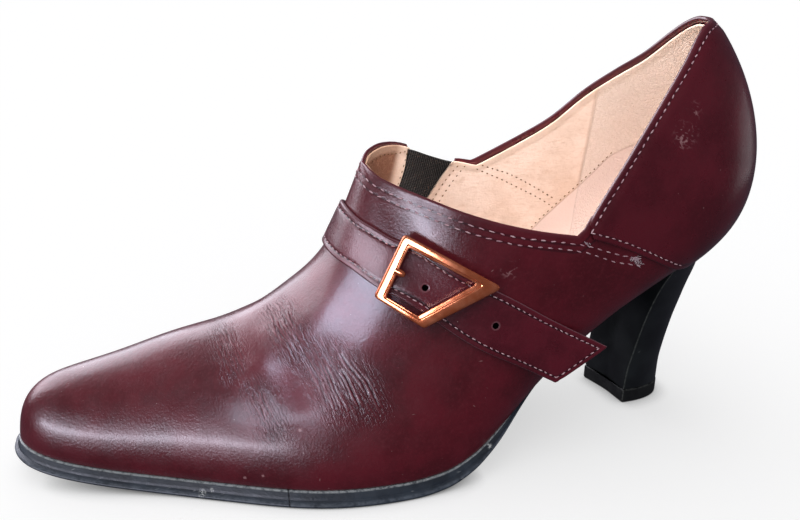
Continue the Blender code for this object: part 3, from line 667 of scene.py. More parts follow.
def creases(points, stations):
    # how far the leather goes in or out at each point, where it is worked soft, and the fine wrinkles alone
    rng = random.Random(upper["seed"])
    lift, fold, flex = np.zeros((3, len(points)))
    a = sideStation(stations)
    for side in (-1, 1):
        share = 1.0 if side < 0 else innerShare
        sameSide = ((stations <= heelStation) == (side < 0)) | (np.abs(points[:, 1]) < upper["ridgeBand"])
        for bend in bends:
            k, w = np.array(bend["line"]).T
            line = shell(k if side < 0 else loopLength - k, w)
            near = np.flatnonzero((a > k.min() - 1.4) & (a < k.max() + 1.4))
            gap, along = lineDistance(points[near], line)
            ends = smooth(-0.05, 0.2, along) * smooth(1.05, 0.75, along) if bend["depth"] < 0 else 1.0
            lift[near] += share * bend["depth"] * np.exp(-(gap / bend["width"]) ** 2) * ends
        for group in wrinkles:
            low, high = group["mid"][0][0] - 0.9, group["mid"][1][0] + 0.9
            near = np.flatnonzero((a > low) & (a < high) & sameSide)
            for i in range(group["count"]):
                line = wrinkleLine(group, (i + 0.5) / group["count"], rng, side)
                depth = share * group["depth"] * rng.uniform(0.2, 1.3)
                width = group["width"] * rng.uniform(0.7, 1.2)
                gap, along = lineDistance(points[near], line)
                taper = np.sin(np.pi * np.clip(along, 0.02, 0.98)) ** 0.7
                trough = -np.exp(-(gap / width) ** 2)
                ridge = 0.6 * np.exp(-((gap - 2.1 * width) / (1.1 * width)) ** 2)
                fold[near] += depth * taper * (trough + ridge)
                flex[near] = np.maximum(flex[near], share * np.exp(-(gap / upper["softReach"]) ** 2))
    return lift + fold, flex, fold


def sideStations(blocks, notch):
    # stations on one side, with the corners of the notch among them
    front, point, back, depth = notch
    extra = np.concatenate([np.linspace(front, point, 7), np.linspace(point, back, 13)[1:]])
    even = np.unique(np.round(np.concatenate([np.linspace(a, b, n + 1) for a, b, n in blocks]), 5))
    even = [k for k in even if np.abs(extra - k).min() > 0.02]
    return np.array(sorted(even + list(extra)))


quarterStart = {"outer": last["seamOuter"][0][0] + 0.16, "inner": last["seamInner"][0][0]}


def underQuarter(ks):
    # 1 where the back quarter covers the top of the upper
    start = np.where(ks <= heelStation, quarterStart["outer"], quarterStart["inner"])
    return smooth(start + 0.05, start + 0.3, sideStation(ks))


def edgeFrame(edge, normal):
    # direction out of the collar edge, in the surface, for the closed loop of edge points
    ahead = np.concatenate([edge[1:], edge[1:2]])
    before = np.concatenate([edge[-2:-1], edge[:-1]])
    return unit(np.cross(normal, unit(ahead - before)))


rollSteps = 8               # points across a rolled top edge


def wallPiece(name, material, ks, notch, drop, liftOut, liftIn, rowsOut, rowsIn, bendFunction=None, **marks):
    # thin wall on the last with a rolled top edge; both sides are welded along the ridge of the vamp
    count = len(ks) - 1
    a = sideStation(ks)
    tops = collar(ks) - notchDrop(ks, notch)
    tops = np.where(a > throatStation, tops - drop / stretch(ks, tops), tops)
    closed = np.flatnonzero(a <= throatStation + 1e-6)

    def face(lift, rows):
        w = tops[:, None] * np.linspace(0, 1, rows + 1)
        kk = np.repeat(ks[:, None], rows + 1, 1)
        normal = facing(kk, w)
        normal[closed, rows] = ridgeFacing(a[closed])
        return kk, w, normal, shell(kk, w) + normal * lift

    kOut, wOut, nOut, outer = face(liftOut, rowsOut)
    kIn, wIn, nIn, inner = face(liftIn, rowsIn)
    worked = {}
    if bendFunction:
        bent = bendFunction(outer.reshape(-1, 3), kOut.ravel())
        lift, flex, fold = (part.reshape(kOut.shape) for part in bent)
        outer = outer + nOut * lift[..., None]
        inner[:, rowsIn] += nIn[:, rowsIn] * lift[:, rowsOut, None]
        worked = {"flex": flex, "fold": fold}
    for i in closed:
        if ks[i] > heelStation:
            outer[i, rowsOut] = outer[count - i, rowsOut]
            inner[i, rowsIn] = inner[count - i, rowsIn]
    outer[count] = outer[0]
    inner[count] = inner[0]
    start = np.flatnonzero(np.abs(ks - throatStation) < 1e-6)[0]
    rim = np.s_[start:count - start + 1]
    edge = outer[rim, rowsOut]
    out = edgeFrame(edge, nOut[rim, rowsOut])
    turn = np.linspace(0, math.pi, rollSteps)[None, :, None]
    roll = edge[:, None] + out[:, None] * (liftOut - liftIn) / 2 * np.sin(turn)
    roll = roll + (inner[rim, rowsIn] - edge)[:, None] * (1 - np.cos(turn)) / 2
    finder = kdtree.KDTree(len(edge) * 4)
    dense = np.concatenate([edge[:-1] + (edge[1:] - edge[:-1]) * t for t in (0, 0.25, 0.5, 0.75)])
    for i, p in enumerate(dense):
        finder.insert(p, i)
    finder.balance()

    def below(points):
        # distance to the top edge
        return np.array([finder.find(p)[2] for p in points.reshape(-1, 3)]).reshape(points.shape[:2])

    def marked(k, w):
        return {key: mark(k, w) for key, mark in marks.items()}

    kRoll, wRoll = ks[rim, None], tops[rim, None]
    wall = Patches()
    wall.grid(outer, (kOut / loopLength, wOut), edge=below(outer), **worked)
    wall.grid(roll, (kRoll / loopLength, 1.0), edge=0.0, **marked(kRoll, wRoll))
    wall.grid(inner, (kIn / loopLength, wIn), edge=below(inner), **marked(kIn, wIn))
    wall.grid(np.stack([outer[:, 0], inner[:, 0]], 1), edge=40.0)
    return wall.make(name, material), edge, out, ks[rim]


def bothSides(oneSide):
    return np.concatenate([oneSide, loopLength - oneSide[-2::-1]])


upperStations = bothSides(sideStations(upper["columns"], last["notch"]))
upperLeather = leather("oxblood upper leather", "upper", [("edge", row) for row in upper["stitchRows"]])
upperPiece, collarEdge, collarOut, collarStations = wallPiece(
    "upper_leather", upperLeather, upperStations, last["notch"],
    upper["underQuarter"] * underQuarter(upperStations), 0.0, -upper["thick"],
    upper["rowsOut"], upper["rowsIn"], creases)
place(upperPiece, "upper", "upper")


# Lining: tan leather inside, a pale grip panel at the heel and the turned-up edge of the sock
lining = {
    "columns": [(0.0, 8.0, 40), (8.0, 15.0, 70)], "rowsIn": 60, "rowsOut": 6,
    "outside": -1.25, "inside": -2.0, "below": 0.9, "belowQuarter": 2.0, "notch": (9.17, 9.30, 9.93, 0.17),
    "grip": (12.15, 0.62, 0.7), "front": (9.0, 0.76, 4.0),     # station, share of the column there, lean
    "sockLine": [(0, 0.02), (10.0, 0.15), (10.6, 0.225), (11.11, 0.288), (11.42, 0.321), (11.73, 0.358),
                 (12.03, 0.398), (12.31, 0.445), (12.6, 0.50), (13.2, 0.53), (15.0, 0.54)],
}


def sockMark(k, w):
    # above zero where the sock covers the wall
    return level(lining["sockLine"], sideStation(k)) - w


def frontShadeMark(k, w):
    # above zero ahead of the elastic, where the lining is painted darker as painted shade
    station, share, lean = lining["front"]
    return station - sideStation(k) + (w - share) * lean


def gripMark(k, w):
    # above zero on the grip panel
    station, share, lean = lining["grip"]
    return sideStation(k) - station - (w - share) * lean


def liningFinish():
    f = Finish("tan lining leather")
    tone = f.noise(0.05, 4.0)
    colour = f.mix(f.step(tone, 0.3, 0.7), paint(218, 192, 174), paint(238, 216, 202))
    colour = f.mix(f.step(f.noise(0.5, 4.0), 0.5, 0.8) * 0.35, colour, paint(198, 164, 138))
    # painted shade: the lining ahead of the elastic is darker
    colour = f.mix(f.step(f.held("front"), 0.0, 0.3) * 0.95, colour, paint(106, 60, 36))
    grip = f.step(f.held("grip"), -0.01, 0.02)
    covered = f.step(f.held("sock"), -0.001, 0.002)
    plain = (1 - grip) * (1 - covered)
    lines = f.turned((0.0, 0.85, 0.15), (0.13, 0.35, 0.5))
    finer = f.turned((0.0, 0.95, 0.15), (0.3, 0.8, 1.2))
    fold = (f.noise(1.0, 3.0, 0.6, lines, 1.6) * 0.6 + f.noise(1.0, 2.0, 0.5, finer, 1.2) * 0.4) * plain
    # painted shade in the troughs of the lining's wrinkles
    colour = f.mix(f.step(fold, 0.5, 0.38) * plain * 0.16, colour, paint(190, 150, 120))
    colour = f.mix(grip * 0.75, colour, paint(226, 210, 200))
    colour = f.mix(grip * f.step(f.noise(1.8, 4.0), 0.45, 0.7) * 0.45, colour, paint(206, 184, 164))
    shaken = f.node("ShaderNodeVectorMath", {"operation": "MULTIPLY_ADD"},
                    {0: f.noise(0.5, 2.0, 0.5, out="Color"), 1: (3.0, 3.0, 3.0), 2: f.spot})
    # painted shade in the crinkle grooves of the grip panel
    crinkle = f.step(f.cells(0.6, shaken, "DISTANCE_TO_EDGE"), 0.16, 0.0) * grip
    colour = f.mix(crinkle * 0.12, colour, paint(178, 150, 128))
    colour = f.mix(covered * 0.85, colour, paint(222, 200, 192))
    rim = f.step(f.held("grip").size(), 0.05, 0.01) * (1 - covered)
    line = f.step(f.held("sock").size(), 0.008, 0.001)
    colour = f.mix((rim * 0.35).most(line * 0.45), colour, paint(162, 124, 100))
    # painted shade: the lining is darker along its top edge
    top = f.step(f.held("edge"), 3.2, 1.6)
    colour = f.mix(top * 0.45, colour, paint(184, 156, 136))
    height = fold * 0.18 + f.cells(1.3, feature="SMOOTH_F1") * 0.05 + grip * 0.2
    height = height + f.noise(2.6, 3.0) * grip * 0.2 + covered * 0.35 + top * 0.08 - crinkle * 0.1
    return f.finish(colour, f.step(tone, 0.3, 0.7, 0.62, 0.8), height)


liningStations = bothSides(sideStations(lining["columns"], lining["notch"]))
liningDrop = lining["below"] + (lining["belowQuarter"] - lining["below"]) * underQuarter(liningStations)
liningPiece = wallPiece(
    "upper_lining", liningFinish(), liningStations, lining["notch"], liningDrop,
    lining["outside"], lining["inside"], lining["rowsOut"], lining["rowsIn"],
    grip=gripMark, sock=sockMark, front=frontShadeMark)[0]
place(liningPiece, "upper", "upper")


# Back quarter: the heel panel laid over the upper, folded over the top edge
quarter = {
    "columns": 150, "rows": 70, "under": 0.25, "outside": 1.4, "topOutside": 0.75, "inside": -1.05,
    "lip": 2.2, "round": 0.55, "bead": 0.4, "stitchTop": 1.9, "stitchLow": 2.2,
    "stitchLowTo": (12.75, 12.9),       # last stations of the low row, outer and inner side
}


def quarterStations():
    outer = np.linspace(quarterStart["outer"], heelStation, quarter["columns"] // 2)
    inner = loopLength - np.linspace(heelStation, quarterStart["inner"], quarter["columns"] // 2)[1:]
    return np.concatenate([outer, inner])


def quarterLow(ks):
    a = sideStation(ks)
    return np.where(ks <= heelStation, level(last["seamOuter"], a), level(last["seamInner"], a))


def quarterPiece():
    ks = quarterStations()
    low, high = quarterLow(ks), collar(ks)
    outside, inside, under, soft = quarter["outside"], quarter["inside"], quarter["under"], quarter["round"]
    thin = quarter["topOutside"]                     # the leather is thinned towards its folded top
    bead = quarter["bead"]
    perLow, perHigh = 1 / stretch(ks, low), 1 / stretch(ks, high)
    down = np.linspace(0, 1, quarter["rows"] + 1)

    section = [(low, under)]                         # share of the column and distance off the last
    for t in np.linspace(0, math.pi / 2, 5):
        section.append((low + soft * (1 - math.cos(t)) * perLow, outside - soft + soft * math.sin(t)))
    first, final = low + soft * perLow * 1.6, high - bead * perHigh
    for t in down:
        w = first + (final - first) * t
        section.append((w, thin + (outside - thin) * smooth(bead, 6.0, (high - w) / perHigh)))
    middle, radius = (thin + inside) / 2, (thin - inside) / 2
    for t in np.linspace(0, math.pi, 11)[1:-1]:
        section.append((high + (radius * math.sin(t) - bead) * perHigh, middle + radius * math.cos(t)))
    section.append((high - bead * perHigh, inside))
    section.append((high - quarter["lip"] * perHigh, inside))
    lipEnd = high - (quarter["lip"] + bead) * perHigh
    for t in down:
        section.append((lipEnd + (low - lipEnd) * t, under))

    ring = np.stack([skin(ks, w, lift) for w, lift in section], 1)
    share = np.stack([w for w, lift in section], 1)
    panel = Patches()
    panel.grid(ring, (ks[:, None] / loopLength, share), edge=(high[:, None] - share) / perHigh[:, None],
               seam=(share - low[:, None]) / perLow[:, None])
    count = len(section) - 1
    half = count // 2
    for end in (ring[0], ring[-1]):                  # ends closed between the outside and the underside
        panel.grid(np.stack([end[:half + 1], end[count:count - half - 1:-1]], 1), edge=12.0, seam=12.0)
    seams = [("edge", quarter["stitchTop"]), ("seam", quarter["stitchLow"])]
    return panel.make("back_quarter_leather", leather("oxblood quarter leather", "quarter", seams))


quarterThing = place(quarterPiece(), "back_quarter", "back_quarter")


# Elastic in the notch on the inner side, and its band inside the lining
gore = {
    "rows": 30, "outside": -0.5, "under": -1.22, "rib": 0.9, "weave": 0.7, "margin": 0.06, "tuck": 0.04,
    "lap": 3.0, "topGap": 1.2,
    "bandOutside": -2.02, "bandInside": -2.6,
    "bandFront": [(9.20, 0.80), (8.97, 0.719), (8.70, 0.659), (8.42, 0.60), (8.15, 0.545)],
    "bandBack": [(9.93, 0.70), (9.56, 0.639), (9.26, 0.595), (8.95, 0.55), (8.68, 0.505)],
}


def goreFinish():
    f = Finish("black ribbed elastic", Sheen_Weight=0.1)
    rib = f.wave(f.alongUv("X"), gore["rib"])
    weave = f.wave(f.alongUv("Y"), gore["weave"])
    colour = f.mix(f.step(rib, -1.0, 1.0), paint(5, 5, 6), paint(17, 15, 17))
    colour = f.mix(f.step(f.noise(1.5), 0.5, 0.75) * 0.3, colour, paint(30, 27, 29))
    return f.finish(colour, f.step(f.noise(0.4), 0.3, 0.7, 0.75, 0.95), rib * 0.10 + weave * 0.04)


def closedSheet(sheet, outside, inside, uv):
    # two grids and the strips round them
    sheet.grid(outside, uv)
    sheet.grid(inside, uv)
    for rim in (np.s_[0], np.s_[-1], np.s_[:, 0], np.s_[:, -1]):
        sheet.grid(np.stack([outside[rim], inside[rim]], 1))


def gorePiece():
    front, point, back, depth = last["notch"]
    margin, tucked = gore["margin"], gore["tuck"]
    a = np.concatenate([np.linspace(front - margin, point, 10), np.linspace(point, back + margin, 20)[1:]])
    ks = loopLength - a
    edge = collar(ks)
    notchEdge = edge - notchDrop(ks, last["notch"])
    low = notchEdge - gore["lap"] / stretch(ks, edge)
    high = edge - gore["topGap"] / stretch(ks, edge)
    t = np.linspace(0, 1, gore["rows"] + 1)
    w = low[:, None] * (1 - t) + high[:, None] * t
    k = np.repeat(ks[:, None], gore["rows"] + 1, 1)
    tuck = np.clip(np.minimum((a - front) / tucked, (back - a) / tucked), 0, 1)[:, None]
    tuck = tuck * np.clip((w - notchEdge[:, None]) * 120, 0, 1)            # margins go under the leather
    sheet = Patches()
    outside = skin(k, w, gore["under"] + 0.02 + (gore["outside"] - gore["under"]) * tuck)
    closedSheet(sheet, outside, skin(k, w, gore["under"]), (k * stationLength, w * columnLength))
    down = np.linspace(0, len(gore["bandFront"]) - 1, 41)
    frontEdge, backEdge = Spline(gore["bandFront"]).at(down), Spline(gore["bandBack"]).at(down)
    s = np.linspace(0, 1, 25)[None, :, None]
    band = frontEdge[:, None] * (1 - s) + backEdge[:, None] * s
    k = loopLength - band[..., 0]
    most = collar(k) - 1.0 / stretch(k, collar(k))
    w = np.minimum(band[..., 1], most)
    w[0] = most[0]
    closedSheet(sheet, skin(k, w, gore["bandOutside"]), skin(k, w, gore["bandInside"]),
                (k * stationLength, w * columnLength))
    return sheet.make("gore_elastic", goreFinish(), sharp=60)


place(gorePiece(), "gore", "gore")


# Strap over the instep, with a free end cut at a slant
strap = {
    # station and climb of the upper and the lower edge; the climb goes 0 to 1 up the inner side, then on to 2
    "edges": [
        (8.52, 0.035, 7.95, 0.04), (8.33, 0.22, 7.78, 0.23), (8.10, 0.41, 7.58, 0.43),
        (7.90, 0.56, 7.38, 0.58), (7.70, 0.70, 7.20, 0.72), (7.56, 0.85, 7.06, 0.86),
        (7.50, 1.00, 7.00, 1.00), (7.58, 1.16, 7.06, 1.14), (7.77, 1.268, 7.22, 1.251),
        (8.04, 1.360, 7.46, 1.370), (8.42, 1.412, 7.74, 1.455), (8.80, 1.456, 8.02, 1.527),
        (9.18, 1.502, 8.28, 1.580), (9.53, 1.548, 8.53, 1.622), (9.84, 1.622, 8.85, 1.670),
        (10.12, 1.699, 9.16, 1.715)],
    "tipUpper": (100.8, -31.5, 38.4), "tipLower": (83.0, -33.6, 29.0),
    "thick": 1.6, "gap": 0.3, "steps": 330, "freeSteps": 60, "across": 56,
    "ease": 700, "easeFrom": (0.62, 0.72),      # rounds of straightening, and where it sets in
    "crown": 0.25, "sink": 0.14, "bulge": 0.45, "edgeWear": [0.3, 0.8, 1.0, 1.0, 1.0, 0.8, 0.2],
    "holes": [(41.6, -24.6, 63.0), (61.6, -31.5, 51.5)], "holeRadius": 0.95, "holeDepth": 0.5,
    "stitchIn": 1.55,
}


def strapGrid(steps, freeSteps, across):
    # under face of the strap and its outward direction
    rows = Spline(strap["edges"]).at(np.linspace(0, len(strap["edges"]) - 1, steps + 1)).T[..., None]
    t = np.linspace(0, 1, across + 1)
    station = rows[2] * (1 - t) + rows[0] * t
    climb = rows[3] * (1 - t) + rows[1] * t
    k = np.where(climb < 1, loopLength - station, station)
    laid = skin(k, np.where(climb < 1, climb, 2 - climb), strap["gap"])
    tip = np.array(strap["tipLower"]) * (1 - t[:, None]) + np.array(strap["tipUpper"]) * t[:, None]
    start = laid[-1]
    reach = np.linalg.norm(tip - start, axis=1, keepdims=True)
    run = unit(laid[-1] - laid[-2]) * reach
    free = []
    for s in np.linspace(0, 1, freeSteps + 1)[1:]:
        free.append(start * (1 - s) ** 2 * (1 + 2 * s) + run * s * (1 - s) ** 2 + tip * s * s * (3 - 2 * s)
                    - (tip - start) * s * s * (1 - s))
    grid = np.concatenate([laid, free])
    held = smooth(*strap["easeFrom"], np.linspace(0, 1, len(grid)))[1:-1, None, None]
    for _ in range(strap["ease"]):                   # straightens the run to the tip
        grid[1:-1] += held * 0.5 * ((grid[:-2] + grid[2:]) / 2 - grid[1:-1])
    normal = unit(np.cross(np.gradient(grid, axis=0), np.gradient(grid, axis=1)))
    return grid, normal


strapBase, strapNormal = strapGrid(strap["steps"], strap["freeSteps"], strap["across"])
strapWidth = np.linalg.norm(strapBase[:, -1] - strapBase[:, 0], axis=-1)
strapTop = strapBase + strapNormal * strap["thick"]


def onStrap(point):
    # the place on the strap's outer face nearest to a point
    far = ((strapTop - np.array(point)) ** 2).sum(-1)
    return strapTop[np.unravel_index(far.argmin(), far.shape)]


strapHoles = [onStrap(hole) for hole in strap["holes"]]


def strapPiece():
    grid, normal = strapBase, strapNormal
    n, m = grid.shape[:2]
    t = np.linspace(0, 1, m)
    along = np.linspace(0, 1, n)[:, None]
    inset = np.minimum(t, 1 - t)[None] * strapWidth[:, None]
    tipFar = np.linalg.norm(grid[-1][None] - grid, axis=-1)

    def seamSink(far):
        return strap["sink"] * np.exp(-((far - strap["stitchIn"]) / 0.6) ** 2)

    crown = strap["crown"] * (1 - np.exp(-(inset / 3.0) ** 2)) - seamSink(inset) - seamSink(tipFar)
    face = grid + normal * (strap["thick"] - strap["crown"] + crown)[..., None]
    radius = strap["holeRadius"]
    for hole in strapHoles:
        far = np.linalg.norm(face - hole, axis=-1)
        rim = 0.05 * np.exp(-((far - radius - 0.35) / 0.35) ** 2)
        pit = -strap["holeDepth"] * smooth(radius + 0.12, radius - 0.35, far)
        face = face + normal * (rim + pit)[..., None]
    band = Patches()
    uv = (along * 0.3, t * 0.3)
    worked = 0.2 + 0.8 * smooth(0.55, 0.35, along) * smooth(0.15, 0.35, along)
    band.grid(face, uv, flex=worked * 0.5, row=np.minimum(inset, tipFar))
    band.grid(grid, uv)

    wear = np.array(strap["edgeWear"])
    share = np.linspace(0, 1, len(wear))[:, None]
    turn = np.linspace(-math.pi / 2, math.pi / 2, len(wear))[None, :, None]

    def edgeRoll(low, high, inner):
        out = unit(low - inner)[:, None] * strap["bulge"]
        return (low + high)[:, None] / 2 + (high - low)[:, None] / 2 * np.sin(turn) + out * np.cos(turn)

    for j, inner in ((0, 1), (m - 1, m - 2)):
        band.grid(edgeRoll(grid[:, j], face[:, j], grid[:, inner]), edge=wear)
    for i, inner in ((0, 1), (n - 1, n - 2)):
        roll = edgeRoll(grid[i], face[i], grid[inner])
        for j, other in ((0, 1), (m - 1, m - 2)):    # a small web closes each corner
            line = grid[i, j] + (face[i, j] - grid[i, j]) * share
            roll[j] = line
            corner = edgeRoll(grid[i:i + 1, j], face[i:i + 1, j], grid[i:i + 1, other])[0]
            band.grid(np.stack([corner, line]), edge=1.0)
        band.grid(roll, edge=wear)
    material = leather("oxblood strap leather", "strap", [("row", strap["stitchIn"])], cutEdge=True,
                       holes=[tuple(hole) for hole in strapHoles])
    return band.make("strap_leather", material)


strapThing = place(strapPiece(), "strap", "strap")


# Buckle: a trapezoid frame and its short pin
buckle = {
    "outer": [(-13.3, 11.5), (21.2, 10.5), (5.2, -11.5), (-13.0, -9.9)],
    "inner": [(-10.0, 8.4), (13.3, 8.0), (1.8, -8.9), (-9.4, -8.2)],
    "at": (41.9, -24.3, 63.1), "face": (-0.236, -0.903, 0.36), "run": (30.0, -10.0, -16.0),
    "thick": 2.2, "standoff": 5.5, "tilt": 0.07, "arch": 0.006, "roundOuter": 1.4, "roundInner": 0.8,
    "section": [(0.0, 0.0), (0.0, 0.45), (0.015, 0.70), (0.06, 0.88), (0.14, 0.97), (0.26, 1.0), (0.62, 1.0),
                (0.70, 0.98), (0.745, 0.90), (0.76, 0.76), (0.80, 0.74), (0.93, 0.74), (0.98, 0.70),
                (1.0, 0.60), (1.0, 0.0)],               # share of the way in, share of the thickness
    "pin": [(-11.2, 1.1), (-9.6, 1.12), (-8.4, 1.05), (-7.7, 0.85), (-7.35, 0.5), (-7.2, 0.02)],
    "pinAcross": 0.3, "pinSides": 16,
}


def copperFinish():
    f = Finish("rose copper plating", Metallic=0.64, Specular_IOR_Level=0.7)
    cloudy = f.noise(0.18, 4.0)
    colour = f.mix(f.step(cloudy, 0.32, 0.68), paint(218, 114, 72), paint(240, 146, 108))
    worn = f.step(f.noise(0.4, 4.0), 0.56, 0.74)
    colour = f.mix(worn * 0.4, colour, paint(180, 88, 54))
    colour = f.mix(f.dots(0.5, 0.08, 0.12) * 0.6, colour, paint(120, 62, 38))
    height = f.noise(0.3, 2.0) * 0.03
    return f.finish(colour, f.step(cloudy, 0.3, 0.7, 0.16, 0.24) + worn * 0.08, height)


def rounded(corners, radius, steps=6, straight=9):
    # polygon with rounded corners and points along its sides
    pts = []
    n = len(corners)
    arcs = []
    for i in range(n):
        p = np.array(corners[i], float)
        a = unit(np.array(corners[i - 1], float) - p)
        b = unit(np.array(corners[(i + 1) % n], float) - p)
        reach = radius / math.tan(math.acos(np.clip(a @ b, -1, 1)) / 2)
        t = np.linspace(0, 1, steps + 1)[:, None]
        arcs.append(p + a * reach * (1 - t) ** 2 + b * reach * t ** 2)
    for i in range(n):
        pts.extend(arcs[i])
        a, b = arcs[i][-1], arcs[(i + 1) % n][0]
        pts.extend(a + (b - a) * t for t in np.linspace(0, 1, straight + 2)[1:-1])
    return np.array(pts)


def bucklePoint(p, q, lift):
    # p along the strap, q across it, lift off its gently arched back
    face = unit(np.array(buckle["face"]))
    run = unit(np.array(buckle["run"]) - face * np.dot(buckle["run"], face))
    across = np.cross(face, run)
    rise = buckle["standoff"] + buckle["tilt"] * q - buckle["arch"] * (p - 2) ** 2 + lift
    return np.array(buckle["at"]) + p[..., None] * run + q[..., None] * across + rise[..., None] * face


def bucklePiece():
    outside = rounded(buckle["outer"], buckle["roundOuter"])
    inside = rounded(buckle["inner"], buckle["roundInner"])
    rings = []
    for share, height in buckle["section"] + buckle["section"][:1]:
        flat = outside + (inside - outside) * share
        rings.append(bucklePoint(flat[:, 0], flat[:, 1], np.full(len(flat), height * buckle["thick"])))
    frameGrid = np.stack(rings, 1)
    metal = Patches()
    metal.grid(np.concatenate([frameGrid, frameGrid[:1]]))
    turn = np.linspace(0, 2 * math.pi, buckle["pinSides"] + 1)
    pin = []
    for along, radius in [(buckle["pin"][0][0], 0.02)] + buckle["pin"]:
        q = buckle["pinAcross"] + radius * np.cos(turn)
        lift = buckle["thick"] * 0.5 + 0.9 * radius * np.sin(turn)
        pin.append(bucklePoint(np.full(len(turn), along), q, lift))
    pin = np.stack(pin)
    pin[:, -1] = pin[:, 0]
    pin[0] = pin[0].mean(0)
    pin[-1] = pin[-1].mean(0)
    metal.grid(pin)
    return metal.make("buckle_frame", copperFinish(), sharp=38)


place(bucklePiece(), "buckle", "buckle")


# Sock and insole under the foot
sock = {"inset": 1.6, "seat": 0.5, "thick": 2.4, "rows": 90, "across": 30, "round": 0.7}


def sockFinish():
    f = Finish("pale sock leather")
    tone = f.noise(0.06, 4.0)
    colour = f.mix(f.step(tone, 0.3, 0.7), paint(206, 184, 174), paint(226, 207, 198))
    colour = f.mix(f.step(f.noise(0.5, 4.0), 0.5, 0.75) * 0.3, colour, paint(186, 158, 144))
    height = f.cells(1.1, feature="SMOOTH_F1") * 0.05 + f.noise(0.3) * 0.1
    return f.finish(colour, f.step(tone, 0.3, 0.7, 0.6, 0.78), height)


def sockEdge(k):
    # the wall at the level of the sock's top, moved in so that the edge tucks under the lining
    w = np.linspace(0, 0.2, 41)
    wall = shell(k[:, None], w)
    tall = wall[..., 2] - baseLine(wall[..., 0])
    w = np.array([np.interp(sock["seat"] + sock["thick"] - sock["round"], row, w) for row in tall])
    return shell(k, w)[:, :2] - feather(k)[1] * sock["inset"]


def sockPiece():
    a = heelStation * (1 - np.cos(np.linspace(0, math.pi, sock["rows"] + 1))) / 2
    left = sockEdge(a)
    right = sockEdge((loopLength - a) % loopLength)
    t = np.linspace(0, 1, sock["across"] + 1)[None, :, None]
    flat = left[:, None] * (1 - t) + right[:, None] * t
    width = np.linalg.norm(right - left, axis=-1)[:, None]
    near = np.minimum(t[..., 0], 1 - t[..., 0]) * width
    base = baseLine(flat[..., 0]) + sock["seat"]
    rise = sock["thick"] - sock["round"] * np.exp(-near / 0.8)
    high = np.concatenate([flat, (base + rise)[..., None]], -1)
    low = np.concatenate([flat, base[..., None]], -1)
    uv = (a[:, None] / heelStation, t[..., 0])
    pad = Patches()
    pad.grid(high, uv)
    pad.grid(low, uv)
    for side in (0, -1):
        pad.grid(np.stack([high[:, side], low[:, side]], 1))
    return pad.make("sock_leather", sockFinish(), weld=2e-7), high


sockThing, sockTop = sockPiece()
place(sockThing, "insole", "insole")


# Outsole: sloping band, groove, rounded bead and flat tread
sole = {
    "edge": [               # how far out and how deep, down the side
        (-2.0, 0.0), (0.2, 0.0), (0.34, 0.03), (0.46, 0.16), (0.62, 0.34), (0.74, 0.46), (0.66, 0.51),
        (0.70, 0.555), (1.05, 0.585), (1.42, 0.64), (1.64, 0.70), (1.70, 0.77), (1.58, 0.86), (1.30, 0.93),
        (0.90, 0.98), (0.4, 1.0)],
    "flare": [(0, 0.3), (1.5, 2.0), (8.0, 2.0), (9.6, 0.4), (13, 0.4)],
    "waistInset": [(0, 0), (8.8, 0), (10.2, 2.6), (11.2, 4.0), (13, 4.0)],
    "waistFade": [(0, 0), (8.8, 0), (10.2, 0.7), (13, 0.7)],
    "endOuter": 13.0, "endInner": 12.40, "steps": 200, "across": 18, "gap": 0.3,
    "joint": (-5.6, 0.28), "ribs": 3.2,
    "chips": [((-32.2, -30.4, 1.8), 1.1), ((-29.1, -30.7, 2.6), 0.6), ((60.0, -38.0, 10.0), 0.8)],
}


def soleFinish():
    f = Finish("dark sole rubber")
    v = f.alongUv("Y")
    tone = f.noise(0.12, 4.0)
    colour = f.mix(f.step(tone, 0.3, 0.7), paint(38, 46, 58), paint(56, 66, 80))
    rub = f.noise(0.55, 5.0, 0.65)
    # painted highlight: lighter along the bead, broken up by noise
    bead = f.step((v - 0.72).size(), 0.16, 0.03)
    colour = f.mix(bead * f.step(rub, 0.3, 0.65) * 0.45, colour, paint(112, 122, 138))
    worn = f.step(v, 0.12, 0.02) * f.step(f.noise(0.7, 5.0, 0.7), 0.28, 0.6)
    chips = f.step(f.noise(0.8, 5.0, 0.7), 0.66, 0.74) * f.step(f.noise(0.08, 2.0), 0.5, 0.62)
    scratch = f.dashes((0.1, 0.2, 0.3), 6.0, 0.5, 0.25)
    colour = f.mix((worn * 0.6).most(chips * 0.8).most(scratch * 0.35), colour, paint(206, 212, 216))
    for spot, spread in sole["chips"]:
        chip = f.step(f.away(spot), spread * 1.6, spread * 0.4) * f.step(f.noise(1.6, 4.0, 0.7), 0.46, 0.56)
        colour = f.mix(chip * 0.85, colour, paint(216, 220, 222))
    x = f.node("ShaderNodeSeparateXYZ", None, {0: f.spot}, "X")
    y = f.node("ShaderNodeSeparateXYZ", None, {0: f.spot}, "Y")
    joint = f.step((x - sole["joint"][0]).size(), sole["joint"][1], 0.08) * f.step(y, -30.0, -31.0)
    colour = f.mix(joint * 0.85, colour, paint(16, 20, 26))
    tread = f.step(v, 1.02, 1.05)
    ribs = f.step(f.wave(x, sole["ribs"]), -0.2, 0.3)
    height = f.noise(1.4, 4.0) * 0.08 + f.noise(0.3, 3.0) * 0.08 - joint * 0.4 + tread * ribs * 0.5
    return f.finish(colour, f.step(rub, 0.3, 0.7, 0.36, 0.55), height)


